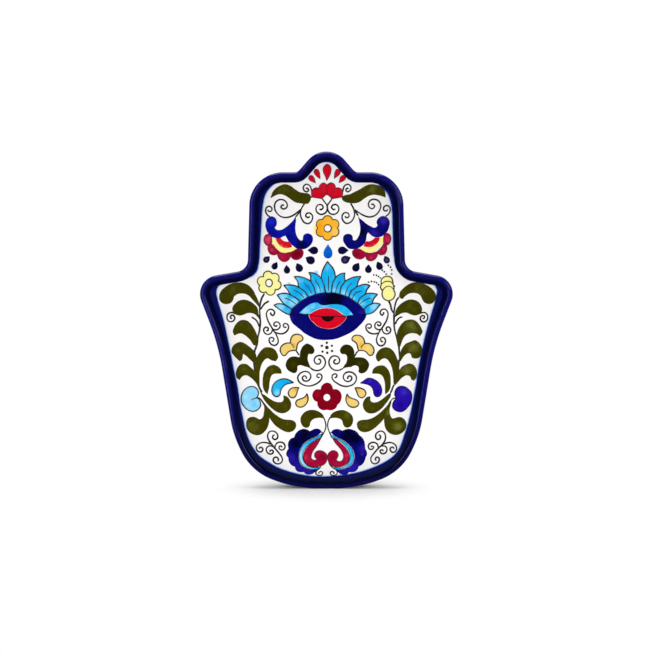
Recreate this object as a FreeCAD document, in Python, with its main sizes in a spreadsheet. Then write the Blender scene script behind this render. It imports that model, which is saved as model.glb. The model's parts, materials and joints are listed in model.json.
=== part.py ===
import FreeCAD, Part
import math
import os

# Hamsa hand ornament in hand-painted glazed pottery.
# Millimetres. +Z points to the fingertip, +X to the viewer's right, and the painted front looks
# along -Y. The origin lies on the wall face of the foot ring, midway between the hanger holes.
# A depth is always counted forward from the wall, so depth 5 is the plane y = -5.


# Driving sizes of the pottery

SIZES = (
    ("hand_height", 180.0),
    ("hand_width", 135.1),
    ("hand_depth", 20.0),
    ("foot_height", 5.0),
    ("slab_thickness", 4.6),
    ("wall_flare", 4.2),
    ("lip_band", 5.0),
    ("lip_width", 3.6),
    ("lip_flat", 0.3),
    ("well_slope", 1.3),
    ("crest_fettling", 1.0),
    ("floor_cove", 0.6),
    ("back_chamfer", 0.9),
    ("glaze_thickness", 0.35),
    ("enamel_thickness", 0.35),
    ("glaze_border", 6.0),
    ("foot_drop", 25.0),
    ("foot_width", 6.0),
    ("foot_chamfer", 0.7),
    ("foot_rise", 27.0),
    ("foot_finger_margin", 13.7),
    ("foot_heel_margin", 11.9),
    ("foot_top_corner", 15.0),
    ("foot_low_corner", 24.0),
    ("hanger_margin", 14.0),
    ("hanger_radius", 1.3),
    ("cut_overrun", 1.0),
)
TOLERANCE = 1e-4

# Corners of the hand's outline, right side, fingertip to heel: across as shares of the width from
# the centre line, down from the fingertip as shares of the height, and how much of the shorter
# neighbouring edge each corner's rounding takes.
HAND_CORNER_SHARES = (
    (0.0, -0.0372, 0.627),
    (0.1143, 0.0615, 0.0727),
    (0.3014, 0.0615, 0.69),
    (0.3113, 0.3507, 0.179),
    (0.5272, 0.3788, 0.417),
    (0.4272, 0.5742, 0.355),
    (0.3691, 0.8391, 0.379),
    (0.2967, 0.9504, 0.55),
    (0.1147, 1.0, 0.45),
)
FINGER_CORNER = 2
HEEL_CORNER = 6

# Frame of the photograph that the painting's places are given in

PAINT_AXIS_PX = 327.2
FINGERTIP_PX = 151.6
HAND_WIDTH_PX = 252.8
HAND_HEIGHT_PX = 336.8


# The painting, in pixels of the photograph. A run is a smooth chain of arcs through its points,
# and runs meet at corners. Pairs give the left side, which is mirrored.

# Crest above the eye: drops as tip, head centre and head radius
CREST_CENTRE_DROP_PX = ((327.2, 180.5), (327.2, 168.4), 3.8)
CREST_SIDE_DROPS_PX = (
    ((320.0, 178.8), (316.4, 171.7), 2.5),
    ((315.5, 183.0), (311.0, 178.0), 2.4),
)
CREST_FLOWER_PX = (
    ((327.2, 185.0), (323.5, 183.0), (319.5, 187.3)),
    ((319.5, 187.3), (315.0, 188.0), (312.0, 192.5), (312.8, 197.0)),
    ((312.8, 197.0), (322.0, 198.5)),
    ((322.0, 198.5), (324.0, 195.6), (327.2, 194.5)),
)
TOP_LEAF_PX = (
    ((271.5, 197.3), (276.0, 188.5), (285.0, 184.5), (295.0, 189.5), (304.0, 193.2), (310.5, 196.5)),
    ((310.5, 196.5), (309.0, 201.5), (304.0, 203.4), (296.0, 202.3), (288.0, 197.0), (280.0, 194.0),
     (271.5, 197.3)),
)
GOLD_ROSETTE_PX = ((327.6, 228.6), 7.9, 4.5, 3.8)
CENTRE_DROP_PX = ((327.8, 244.5), (327.8, 253.5), 4.6)

# Carnations left and right of the crest
CALYX_PX = (
    ((295.5, 217.0), (289.5, 224.5), (280.0, 230.3), (274.8, 227.6), (277.2, 221.5), (272.0, 216.5),
     (266.2, 222.0), (267.5, 232.0), (276.0, 237.6)),
    ((276.0, 237.6), (285.5, 235.7), (290.0, 242.4), (297.0, 248.5), (305.0, 248.7), (312.2, 242.0),
     (311.2, 235.5), (307.0, 233.7), (303.2, 237.5), (301.5, 240.7), (297.0, 236.5), (295.2, 228.0),
     (295.5, 217.0)),
)
CARNATION_RIM_PX = ((267.3, 234.2), (264.0, 240.0), (267.4, 245.3), (270.5, 253.2), (277.8, 254.6),
                    (283.8, 261.4), (290.3, 257.4), (297.0, 259.3), (302.8, 253.4))
CARNATION_SEAM_PX = ((295.0, 249.6), (285.0, 253.0), (277.5, 249.8), (273.0, 244.0), (271.6, 239.0))
CARNATION_THROAT_PX = ((275.2, 238.9), (277.0, 242.8), (281.0, 246.8), (286.0, 248.5), (292.6, 247.6))
CARNATION_HEART_PX = ((290.2, 244.6), (285.0, 242.4), (282.0, 240.9), (280.2, 238.7))
NAVY_DROPS_PX = (
    ((269.5, 256.5), (266.0, 260.3), 3.0),
    ((277.0, 262.5), (274.3, 266.8), 2.9),
    ((286.5, 265.5), (286.7, 270.7), 3.0),
    ((297.0, 263.8), (299.5, 268.5), 3.6),
    ((305.8, 257.8), (310.6, 260.4), 3.9),
    ((308.5, 250.3), (314.0, 250.5), 3.7),
)
YELLOW_ROSETTE_PX = ((269.9, 283.0), 7.8, 4.4, 3.8)
YELLOW_BUD_PX = (((387.9, 282.0), 5.7), ((387.9, 287.0), 6.5), ((389.4, 294.0), 6.6))

# The eye and its crown of leaves
CROWN_CENTRE_PX = (
    ((327.2, 261.7), (332.2, 268.5), (333.6, 279.0), (332.0, 290.6)),
    ((332.0, 290.6), (322.4, 290.6)),
    ((322.4, 290.6), (320.8, 279.0), (322.2, 268.5), (327.2, 261.7)),
)
CROWN_LEAVES_PX = (
    (((308.7, 272.5), (317.0, 275.0), (320.6, 283.0), (321.6, 291.0)),
     ((321.6, 291.0), (317.0, 292.4)),
     ((317.0, 292.4), (314.0, 286.0), (311.2, 279.0), (308.7, 272.5))),
    (((294.0, 276.5), (304.0, 277.9), (310.4, 282.5), (315.6, 292.6)),
     ((315.6, 292.6), (309.8, 294.6)),
     ((309.8, 294.6), (303.5, 290.5), (298.2, 284.5), (294.0, 276.5))),
    (((283.5, 285.2), (292.0, 285.6), (301.0, 290.0), (308.0, 295.4)),
     ((308.0, 295.4), (302.6, 298.6)),
     ((302.6, 298.6), (294.5, 296.0), (287.8, 291.5), (283.5, 285.2))),
    (((277.0, 295.2), (285.0, 293.6), (293.5, 296.8), (301.2, 299.6)),
     ((301.2, 299.6), (296.4, 303.8)),
     ((296.4, 303.8), (288.5, 303.9), (281.5, 300.8), (277.0, 295.2))),
    (((273.5, 305.2), (280.0, 304.2), (287.0, 305.9), (293.6, 306.2)),
     ((293.6, 306.2), (290.4, 312.2)),
     ((290.4, 312.2), (285.0, 312.6), (279.0, 310.0), (273.5, 305.2))),
)
EYE_TOP_PX = ((289.5, 314.5), (295.5, 304.9), (306.0, 297.4), (320.0, 292.8), (334.4, 292.8),
              (348.4, 297.4), (358.9, 304.9), (364.9, 314.5))
EYE_FOOT_PX = ((364.9, 314.5), (359.5, 325.0), (345.5, 335.5), (327.2, 340.3), (308.9, 335.5),
               (294.9, 325.0), (289.5, 314.5))
LID_TOP_PX = ((299.5, 313.4), (307.0, 306.0), (316.5, 302.9), (327.2, 305.0), (337.9, 302.9),
              (347.4, 306.0), (354.9, 313.4))
LID_FOOT_PX = ((354.9, 313.4), (345.8, 315.0))
IRIS_TOP_PX = ((345.8, 315.0), (337.0, 310.0), (327.2, 308.0), (317.4, 310.0), (308.6, 315.0))
IRIS_FOOT_PX = ((308.6, 315.0), (314.5, 324.0), (327.2, 329.0), (339.9, 324.0), (345.8, 315.0))
PUPIL_PX = ((320.6, 316.0), (323.0, 320.4), (327.2, 322.0), (331.4, 320.4), (333.8, 316.0))

# Olive branches at the sides
BRANCH_LEAVES_PX = (
    (((259.5, 307.0), (255.0, 295.0), (248.5, 285.8), (237.0, 282.7), (225.0, 287.5), (219.6, 296.0),
      (223.5, 303.5), (230.5, 303.0), (233.5, 297.5)),
     ((233.5, 297.5), (241.0, 293.3), (250.0, 296.5), (259.5, 307.0))),
    (((259.6, 311.0), (249.0, 301.0), (239.0, 301.0), (232.8, 309.0), (235.0, 313.7), (241.0, 315.0)),
     ((241.0, 315.0), (247.0, 313.0), (255.0, 314.0), (259.8, 319.0)),
     ((259.8, 319.0), (259.6, 311.0))),
    (((257.8, 337.0), (253.0, 326.5), (243.5, 320.2), (236.0, 324.2), (233.0, 331.4), (234.6, 335.3)),
     ((234.6, 335.3), (241.0, 333.0), (248.3, 337.8), (253.6, 345.3)),
     ((253.6, 345.3), (256.6, 345.3), (257.8, 337.0))),
    (((255.0, 362.0), (253.9, 351.4), (246.7, 345.0), (240.0, 342.3), (233.5, 346.0), (232.2, 352.0),
      (237.4, 358.4), (241.0, 360.4), (243.3, 353.4)),
     ((243.3, 353.4), (249.4, 358.7), (255.0, 362.0))),
)
FORKED_LEAF_PX = (
    ((275.6, 361.2), (277.8, 355.9), (271.1, 348.0), (261.7, 350.3), (255.9, 362.0), (254.2, 371.4)),
    ((254.2, 371.4), (249.4, 366.7), (243.3, 364.1), (237.8, 367.6), (236.2, 375.3), (239.7, 379.8)),
    ((239.7, 379.8), (246.1, 375.1), (252.8, 379.2), (259.4, 386.4)),
    ((259.4, 386.4), (259.4, 372.0), (263.0, 361.4), (268.3, 358.0), (272.0, 360.4), (275.6, 361.2)),
)
HOOKED_LEAF_PX = (
    ((281.4, 373.4), (276.7, 366.2), (268.3, 367.0), (263.3, 377.6), (263.3, 387.0), (267.5, 394.0)),
    ((267.5, 394.0), (269.2, 384.0), (272.5, 374.4), (281.4, 373.4)),
)
SPRAY_PX = (
    ((310.0, 367.5), (307.4, 359.0), (308.6, 353.6)),
    ((308.6, 353.6), (313.4, 353.2), (313.2, 347.8), (307.0, 344.2), (302.0, 348.0), (300.0, 357.8)),
    ((300.0, 357.8), (290.5, 357.5), (286.3, 365.0), (290.0, 371.5), (295.6, 372.2), (296.9, 367.0)),
    ((296.9, 367.0), (300.5, 364.9), (305.0, 366.3), (310.0, 367.5)),
)
TREFOIL_PX = (
    ((295.6, 350.5), (297.0, 345.0), (302.2, 340.2), (301.0, 335.8), (294.0, 335.0), (290.6, 343.2)),
    ((290.6, 343.2), (282.5, 345.3), (280.3, 350.5), (284.5, 355.6), (288.4, 351.8), (295.6, 350.5)),
)
CRESCENT_PX = (
    ((293.5, 382.8), (283.5, 379.0), (273.5, 384.5), (272.1, 392.0), (276.5, 396.8)),
    ((276.5, 396.8), (280.3, 392.0), (284.0, 385.8), (293.5, 382.8)),
)
GOLD_DROPS_PX = (
    (((298.8, 387.8), (291.5, 388.5), (288.4, 393.0), (292.8, 397.7)),
     ((292.8, 397.7), (296.3, 394.0), (298.8, 387.8))),
    (((306.8, 393.9), (303.0, 398.2), (296.8, 400.8), (298.4, 406.8)),
     ((298.4, 406.8), (304.4, 405.8), (307.8, 400.0), (306.8, 393.9))),
)
CRIMSON_ROSETTE_PX = ((327.2, 397.4), 8.6, 6.2, 3.3)

# Heart buds and leaves of the lower corners
HEART_BUD_PX = (
    ((257.6, 398.2), (258.0, 392.6), (254.6, 387.5), (248.5, 387.4), (242.7, 393.0), (241.6, 400.4),
     (247.0, 409.3)),
    ((247.0, 409.3), (253.0, 411.4), (259.2, 408.0), (260.2, 402.5), (257.6, 398.2)),
)
LOWER_LEAF_PX = (
    ((262.0, 392.5), (271.0, 400.0), (278.0, 402.4), (283.6, 401.2), (283.5, 396.0)),
    ((283.5, 396.0), (290.1, 401.5), (290.0, 408.5), (282.0, 413.0), (271.5, 408.0), (263.3, 398.0),
     (262.0, 392.5)),
)
TWIN_LEAF_PX = (
    ((262.6, 401.4), (270.5, 410.5), (279.5, 417.8), (291.0, 420.3), (295.8, 425.0), (290.0, 431.9),
     (278.5, 427.8), (269.2, 417.8)),
    ((269.2, 417.8), (266.8, 428.5), (258.0, 435.0), (248.5, 431.0), (246.5, 423.5), (251.5, 417.3),
     (258.6, 419.8)),
    ((258.6, 419.8), (263.4, 415.0), (264.6, 409.0), (262.6, 401.4)),
)
ARCH_LEAF_PX = (
    ((323.8, 418.2), (316.8, 411.1), (305.7, 411.9), (300.6, 420.0), (305.4, 427.5), (309.5, 425.5)),
    ((309.5, 425.5), (311.4, 420.8), (316.8, 418.0), (323.8, 418.2)),
)

# The twin flower at the heel of the hand
SCALLOP_RIM_PX = ((321.4, 432.2), (315.8, 429.0), (309.8, 431.3), (300.5, 430.0), (294.2, 437.6),
                  (288.7, 442.0), (288.2, 448.9), (286.4, 453.6), (288.3, 458.3), (289.6, 463.6),
                  (294.8, 467.2), (298.0, 471.8), (304.0, 472.4), (309.0, 474.8), (315.3, 471.2))
SCALLOP_SEAM_PX = ((316.2, 469.8), (306.8, 468.2), (300.0, 461.0), (299.2, 452.0), (304.2, 443.6),
                   (312.9, 438.3), (322.0, 434.2))
BAND_SEAM_PX = ((321.2, 436.8), (314.1, 441.3), (306.5, 447.6), (302.8, 456.0), (305.2, 463.4),
                (311.2, 467.2), (318.0, 467.6))
PAISLEY_PX = (
    ((318.6, 440.6), (312.4, 443.8), (306.4, 449.6), (303.9, 457.5), (307.9, 464.8), (315.3, 466.8),
     (324.4, 463.6), (326.9, 457.6), (323.5, 451.8), (317.0, 451.3), (314.7, 456.0), (317.0, 460.4)),
    ((317.0, 460.4), (312.3, 460.0), (311.2, 455.3), (315.9, 447.1), (318.6, 440.6)),
)
SIX_PETALS = 6
FIVE_PETALS = 5


document = FreeCAD.newDocument("hamsa_hand")
sheet = document.addObject("Spreadsheet::Sheet", "sizes")
size = {}


def fill_sheet():
    """Write the driving sizes to the sheet and keep them by name."""
    for row, (alias, value) in enumerate(SIZES, start=1):
        cell = "B" + str(row)
        sheet.set("A" + str(row), alias)
        sheet.set(cell, str(value))
        sheet.setAlias(cell, alias)
    document.recompute()
    for alias, _ in SIZES:
        size[alias] = float(sheet.get(alias))


def tip_height():
    """Height of the fingertip above the origin."""
    return size["foot_drop"] + size["foot_width"] / 2


def front_place(point):
    """Place of a painted point on the front: across, up."""
    across = (point[0] - PAINT_AXIS_PX) / HAND_WIDTH_PX * size["hand_width"]
    down = (point[1] - FINGERTIP_PX) / HAND_HEIGHT_PX * size["hand_height"]
    return FreeCAD.Vector(across, tip_height() - down, 0)


def painted_length(pixels):
    """Length on the front of a painted length in pixels."""
    return pixels / HAND_HEIGHT_PX * size["hand_height"]


# Outlines


def rounded_edges(corners):
    """Lines and arcs of a closed outline. A corner is its point and the length that its rounding
    takes off each neighbouring edge, and the inset moves the whole outline inwards."""
    edges = []
    count = len(corners)
    trims = []
    for index, (point, trim) in enumerate(corners):
        before = (corners[index - 1][0] - point).normalize()
        after = (corners[(index + 1) % count][0] - point).normalize()
        start = point + before * trim
        end = point + after * trim
        half_turn = (math.pi - before.getAngle(after)) / 2
        radius = trim / math.tan(half_turn)
        inward = (before + after).normalize()
        middle = point + inward * radius * (1 / math.cos(half_turn) - 1)
        trims.append((start, middle, end))
    for index, (start, middle, end) in enumerate(trims):
        edges.append(Part.Arc(start, middle, end))
        edges.append(Part.LineSegment(end, trims[(index + 1) % count][0]))
    return edges


def inset_corners(corners, inset):
    """The corners of the parallel outline that lies inset further in."""
    moved = []
    count = len(corners)
    for index, (point, trim) in enumerate(corners):
        before = (point - corners[index - 1][0]).normalize()
        after = (corners[(index + 1) % count][0] - point).normalize()
        turn = math.atan2(before.x * after.y - before.y * after.x, before.dot(after))
        across = FreeCAD.Vector(before.y, -before.x, 0)
        shift = across * inset + before * inset * math.tan(turn / 2)
        moved.append((point + shift, trim + inset * math.tan(turn / 2)))
    return moved


def hand_corners():
    """Corners of the glazed hand's outline, clockwise from the fingertip seen from the front."""
    right = []
    for across_share, down_share, _ in HAND_CORNER_SHARES:
        right.append(FreeCAD.Vector(across_share * size["hand_width"],
                                    tip_height() - down_share * size["hand_height"], 0))
    left = [FreeCAD.Vector(-point.x, point.y, 0) for point in reversed(right[1:])]
    round_shares = [row[2] for row in HAND_CORNER_SHARES]
    round_shares += list(reversed(round_shares[1:]))
    points = right + left
    corners = []
    for index, point in enumerate(points):
        shorter = min(point.distanceToPoint(points[index - 1]),
                      point.distanceToPoint(points[(index + 1) % len(points)]))
        corners.append((point, round_shares[index] * shorter))
    return corners


def hand_edges(inset):
    """Outline of the hand, parallel to the glazed edge and inset from it."""
    return rounded_edges(inset_corners(hand_corners(), inset))


def foot_top_half():
    """Half the foot's width at its top run."""
    finger_side = HAND_CORNER_SHARES[FINGER_CORNER][0] * size["hand_width"]
    return finger_side - size["foot_finger_margin"]


def foot_edges(inset):
    """Outline of the foot ring: a rounded block that widens with the hand to the heel."""
    top = tip_height() - size["foot_drop"]
    low = tip_height() - size["hand_height"] + size["foot_rise"]
    heel_side = HAND_CORNER_SHARES[HEEL_CORNER][0] * size["hand_width"]
    top_half = foot_top_half()
    low_half = heel_side - size["foot_heel_margin"]
    points = (
        (FreeCAD.Vector(-top_half, top, 0), size["foot_top_corner"]),
        (FreeCAD.Vector(top_half, top, 0), size["foot_top_corner"]),
        (FreeCAD.Vector(low_half, low, 0), size["foot_low_corner"]),
        (FreeCAD.Vector(-low_half, low, 0), size["foot_low_corner"]),
    )
    return rounded_edges(inset_corners(points, inset))


def run_tangents(points):
    """Direction of a run at each of its points: that of the circle through the point and its
    neighbours, or at an end the circle through the first three."""
    tangents = []
    for before, point, after in zip(points, points[1:], points[2:]):
        back = point - before
        ahead = after - point
        tangent = back * (ahead.Length / back.Length) + ahead * (back.Length / ahead.Length)
        tangents.append(tangent.normalize())
    first = (points[1] - points[0]).normalize()
    last = (points[-1] - points[-2]).normalize()
    start = first * 2 * first.dot(tangents[0]) - tangents[0]
    end = last * 2 * last.dot(tangents[-1]) - tangents[-1]
    return [start] + tangents + [end]


def tangent_arc(start, tangent, end):
    """Arc between two points that leaves the first along the tangent."""
    chord = end - start
    lean = tangent.getAngle(chord)
    if lean < TOLERANCE:
        return Part.LineSegment(start, end)
    bulge = tangent - chord * (tangent.dot(chord) / chord.dot(chord))
    middle = (start + end) / 2 + bulge.normalize() * chord.Length / 2 * math.tan(lean / 2)
    return Part.Arc(start, middle, end)


def arc_pair(start, start_tangent, end, end_tangent):
    """Two arcs that meet smoothly and join two points along the given directions."""
    chord = end - start
    lead = chord.dot(start_tangent + end_tangent)
    turn = 2 * (1 - start_tangent.dot(end_tangent))
    if turn < TOLERANCE:
        reach = chord.dot(chord) / (2 * lead)
    else:
        reach = (math.sqrt(lead * lead + turn * chord.dot(chord)) - lead) / turn
    meeting = (start + start_tangent * reach + end - end_tangent * reach) / 2
    return [tangent_arc(start, start_tangent, meeting), tangent_arc(end, -end_tangent, meeting)]


def run_edges(run):
    """A straight edge for a run of two points, a smooth chain of arcs for a longer one."""
    points = [front_place(point) for point in run]
    if len(points) == 2:
        return [Part.LineSegment(points[0], points[1])]
    tangents = run_tangents(points)
    edges = []
    for index in range(len(points) - 1):
        edges += arc_pair(points[index], tangents[index], points[index + 1], tangents[index + 1])
    return edges


def outline_edges(runs):
    """Closed painted outline from its runs, with a straight edge across any gap between two."""
    edges = []
    for index, run in enumerate(runs):
        following = runs[(index + 1) % len(runs)]
        edges += run_edges(run)
        if run[-1] != following[0]:
            edges += run_edges((run[-1], following[0]))
    return edges


def scallop_runs(points):
    """Runs of three points each, for a rim of round scallops."""
    return [points[start:start + 3] for start in range(0, len(points) - 2, 2)]


def mirrored_runs(runs):
    """An outline's runs mirrored across the painting's axis."""
    return [[(2 * PAINT_AXIS_PX - across, down) for across, down in reversed(run)]
            for run in reversed(runs)]


def drop_edges(drop):
    """Outline of a drop: a round head with two straight sides to its tip."""
    tip = front_place(drop[0])
    head = front_place(drop[1])
    radius = painted_length(drop[2])
    axis = tip - head
    reach = axis.Length
    axis.normalize()
    side = FreeCAD.Vector(-axis.y, axis.x, 0)
    opening = math.acos(radius / reach)
    first = head + axis * radius * math.cos(opening) + side * radius * math.sin(opening)
    last = head + axis * radius * math.cos(opening) - side * radius * math.sin(opening)
    return [Part.LineSegment(tip, first), Part.Arc(first, head - axis * radius, last),
            Part.LineSegment(last, tip)]


def circle(centre, radius):
    """Circle parallel to the front."""
    return Part.Circle(centre, FreeCAD.Vector(0, 0, 1), radius)


# Features


def origin_plane(body, role):
    """The body's own origin plane of that role."""
    for feature in body.Origin.OriginFeatures:
        if feature.Role == role:
            return feature
    raise ValueError(role)


def new_body(label):
    """Empty body whose name and label are the sub-part's."""
    body = document.addObject("PartDesign::Body", label)
    body.Label = label
    body.AllowCompound = True
    return body


def front_sketch(body, name, edges, depth, centre=FreeCAD.Vector(0, 0, 0)):
    """Sketch parallel to the front about a centre, at a depth given as an expression of the
    sheet's sizes."""
    sketch = body.newObject("Sketcher::SketchObject", name)
    sketch.AttachmentSupport = [(origin_plane(body, "XZ_Plane"), "")]
    sketch.MapMode = "FlatFace"
    sketch.AttachmentOffset = FreeCAD.Placement(centre, FreeCAD.Rotation())
    sketch.setExpression("AttachmentOffset.Base.z", depth)
    sketch.addGeometry(edges, False)
    return sketch


def pad(body, name, sketch, length):
    """Pad of a sketch forward by an expression of the sheet's sizes."""
    feature = body.newObject("PartDesign::Pad", name)
    feature.Profile = sketch
    feature.setExpression("Length", length)
    body.Tip = feature
    return feature


def loft(body, kind, name, first, last):
    """Straight-sided loft between two sketches, added to the body or cut from it."""
    feature = body.newObject(kind, name)
    feature.Profile = first
    feature.Sections = [last]
    feature.Ruled = True
    document.recompute()
    return feature


def edge_dressing(body, kind, name, depth, measure, amount):
    """Fillet or chamfer of the edges that lie wholly in the plane at that depth, with its measure
    bound to an expression of the sheet's sizes."""
    base = body.Tip
    names = []
    for index, edge in enumerate(base.Shape.Edges, start=1):
        box = edge.BoundBox
        if abs(box.YMin + depth) < TOLERANCE and abs(box.YMax + depth) < TOLERANCE:
            names.append("Edge" + str(index))
    feature = body.newObject(kind, name)
    feature.Base = (base, names)
    feature.setExpression(measure, amount)
    body.Tip = feature
    document.recompute()
    return feature


def fillet_at_depth(body, name, depth, radius):
    """Rounding of the edges at that depth."""
    return edge_dressing(body, "PartDesign::Fillet", name, depth, "Radius", radius)


def chamfer_at_depth(body, name, depth, width):
    """Bevel of the edges at that depth."""
    return edge_dressing(body, "PartDesign::Chamfer", name, depth, "Size", width)


# Pottery


def dish_form(label, cover):
    """The dish as a solid: back slab, flared wall and lip round an open well. The cover is 0 for
    the bare clay, whose lip is fettled to a bevel, and 1 for the form whose glaze rounds it off."""
    body = new_body(label)
    bare = (1 - cover) * size["glaze_thickness"]
    bare_term = f" - {1 - cover} * sizes.glaze_thickness"
    cover_term = f"{cover} * sizes.glaze_thickness"
    slab_front = "sizes.foot_height + sizes.slab_thickness + " + cover_term
    band_depth = "sizes.hand_depth - sizes.lip_band"

    back = front_sketch(body, label + "_back", hand_edges(size["wall_flare"] + bare),
                        "sizes.foot_height - " + cover_term)
    band = front_sketch(body, label + "_band", hand_edges(bare), band_depth)
    loft(body, "PartDesign::AdditiveLoft", label + "_wall", back, band)
    rim = front_sketch(body, label + "_rim", hand_edges(bare), band_depth)
    pad(body, label + "_lip", rim, "sizes.lip_band" + bare_term)

    mouth_inset = size["lip_width"] - bare
    mouth = front_sketch(body, label + "_mouth", hand_edges(mouth_inset),
                         "sizes.hand_depth" + bare_term)
    floor = front_sketch(body, label + "_floor", hand_edges(mouth_inset + size["well_slope"]),
                         slab_front)
    well = loft(body, "PartDesign::SubtractiveLoft", label + "_well", mouth, floor)
    body.Tip = well
    document.recompute()

    lip_depth = size["hand_depth"] - bare
    if cover:
        fillet_at_depth(body, label + "_crest", lip_depth, "(sizes.lip_width - sizes.lip_flat) / 2")
    else:
        chamfer_at_depth(body, label + "_crest", lip_depth, "sizes.crest_fettling")
    chamfer_at_depth(body, label + "_cove", floor.AttachmentOffset.Base.z, "sizes.floor_cove")
    chamfer_at_depth(body, label + "_heel", back.AttachmentOffset.Base.z, "sizes.back_chamfer")
    return body


def foot_ring():
    """The foot: a coil luted to the back, with a flat wall face and two hanger holes bored up
    through its top run."""
    body = new_body("foot_ring")
    ring = foot_edges(0) + foot_edges(size["foot_width"])
    coil = front_sketch(body, "foot_outline", ring, "0")
    pad(body, "foot_coil", coil, "sizes.foot_height")
    document.recompute()
    chamfer_at_depth(body, "foot_edges_bevelled", 0, "sizes.foot_chamfer")

    holes = body.newObject("Sketcher::SketchObject", "hanger_outline")
    holes.AttachmentSupport = [(origin_plane(body, "XY_Plane"), "")]
    holes.MapMode = "FlatFace"
    for side in (-1, 1):
        across = side * (foot_top_half() - size["hanger_margin"])
        centre = FreeCAD.Vector(across, -size["foot_height"] / 2, 0)
        holes.addGeometry(circle(centre, size["hanger_radius"]), False)
    bores = body.newObject("PartDesign::Pocket", "hanger_holes")
    bores.Profile = holes
    bores.Midplane = True
    bores.setExpression("Length", "sizes.foot_width + 2 * sizes.cut_overrun")
    body.Tip = bores
    document.recompute()
    return body


def depth_block(name, near, far):
    """Box across the whole hand between two depths, given as expressions."""
    box = document.addObject("Part::Box", name)
    box.setExpression("Length", "sizes.hand_width + 2 * sizes.cut_overrun")
    box.setExpression("Height", "sizes.hand_height + 2 * sizes.cut_overrun")
    box.setExpression("Width", f"({far}) - ({near})")
    box.setExpression("Placement.Base.x", "-sizes.hand_width / 2 - sizes.cut_overrun")
    box.setExpression("Placement.Base.y", f"-({far})")
    box.setExpression("Placement.Base.z", "sizes.foot_drop + sizes.foot_width / 2"
                      " - sizes.hand_height - sizes.cut_overrun")
    return box


def combined(kind, name, base, tool):
    """Boolean of two objects."""
    feature = document.addObject(kind, name)
    feature.Label = name
    feature.Base = base
    feature.Tool = tool
    document.recompute()
    return feature


def glaze_coats(clay, foot):
    """The three coats over the clay: cobalt on lip and walls, white on the floor, clear on the
    back round the foot."""
    glazed = dish_form("glazed_form", 1)
    shell = combined("Part::Cut", "glaze_shell", glazed, clay)
    forward = depth_block("forward_block", "sizes.foot_height", "sizes.hand_depth + sizes.cut_overrun")
    behind = depth_block("behind_block", "sizes.foot_height - sizes.glaze_thickness",
                         "sizes.foot_height")
    field = new_body("floor_field")
    sketch = front_sketch(field, "floor_field_outline", hand_edges(size["glaze_border"]),
                          "sizes.foot_height + sizes.slab_thickness / 2")
    pad(field, "floor_field_pad", sketch, "sizes.slab_thickness")
    document.recompute()
    front_shell = combined("Part::Common", "front_shell", shell, forward)
    back_shell = combined("Part::Common", "back_shell", shell, behind)
    rim = combined("Part::Cut", "rim_glaze", front_shell, field)
    floor = combined("Part::Common", "floor_glaze", front_shell, field)
    back = combined("Part::Cut", "back_glaze", back_shell, foot)
    return [rim, floor, back]


# Enamels


ENAMEL_SEAT = "sizes.foot_height + sizes.slab_thickness + sizes.glaze_thickness"


def enamel_pad(body, name, edges, centre=FreeCAD.Vector(0, 0, 0)):
    """Pools of one colour on the white floor, about a centre."""
    sketch = front_sketch(body, name + "_outline", edges, ENAMEL_SEAT, centre)
    feature = pad(body, name, sketch, "sizes.enamel_thickness")
    document.recompute()
    return feature


def enamel(label, outlines):
    """Body of pools of one colour, each from its own outline of runs."""
    body = new_body(label)
    enamel_pad(body, label + "_pools", [edge for runs in outlines for edge in outline_edges(runs)])
    return body


def mirror_right(body):
    """The left side's pools again on the right."""
    pair = body.newObject("PartDesign::Mirrored", body.Label + "_right")
    pair.Originals = [body.Tip]
    pair.MirrorPlane = (origin_plane(body, "YZ_Plane"), [""])
    body.Tip = pair
    document.recompute()


def enamel_pair(label, outlines):
    """Body of pools of one colour on the left and, mirrored, on the right."""
    body = enamel(label, outlines)
    mirror_right(body)
    return body


def enamel_sides(left_label, right_label, outlines):
    """Two bodies with the same pools, one on the left and one mirrored to the right."""
    return [enamel(left_label, outlines),
            enamel(right_label, [mirrored_runs(runs) for runs in outlines])]


def rosette(label, flower, petals):
    """Round flower: petals in a circle round a core, and an eye left open in the middle."""
    centre = front_place(flower[0])
    reach, petal, eye = (painted_length(pixels) for pixels in flower[1:])
    middle = FreeCAD.Vector(0, 0, 0)
    body = new_body(label)
    core = enamel_pad(body, label + "_core", [circle(middle, reach)], centre)
    first = enamel_pad(body, label + "_petal", [circle(FreeCAD.Vector(0, reach, 0), petal)], centre)
    ring = body.newObject("PartDesign::PolarPattern", label + "_petals")
    ring.Originals = [first]
    ring.Axis = (core.Profile[0], ["N_Axis"])
    ring.Angle = 360
    ring.Occurrences = petals
    body.Tip = ring
    document.recompute()

    opening = front_sketch(body, label + "_eye_outline", [circle(middle, eye)], ENAMEL_SEAT, centre)
    pierced = body.newObject("PartDesign::Pocket", label + "_eye")
    pierced.Profile = opening
    pierced.Reversed = True
    pierced.setExpression("Length", "sizes.enamel_thickness")
    body.Tip = pierced
    document.recompute()
    return body


def crest():
    """Drops and red flower over the gold rosette, and the blue drop under it."""
    drops = new_body("crest_drops")
    enamel_pad(drops, "crest_side_drops",
               [edge for drop in CREST_SIDE_DROPS_PX for edge in drop_edges(drop)])
    mirror_right(drops)
    enamel_pad(drops, "crest_centre_drop", drop_edges(CREST_CENTRE_DROP_PX))
    flower = enamel("crest_flower", [list(CREST_FLOWER_PX) + mirrored_runs(CREST_FLOWER_PX)])
    blue_drop = new_body("centre_drop")
    enamel_pad(blue_drop, "centre_drop_pool", drop_edges(CENTRE_DROP_PX))
    gold = rosette("gold_rosette", GOLD_ROSETTE_PX, SIX_PETALS)
    return [drops, flower, enamel_pair("top_leaves", [TOP_LEAF_PX]), gold, blue_drop]


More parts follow.
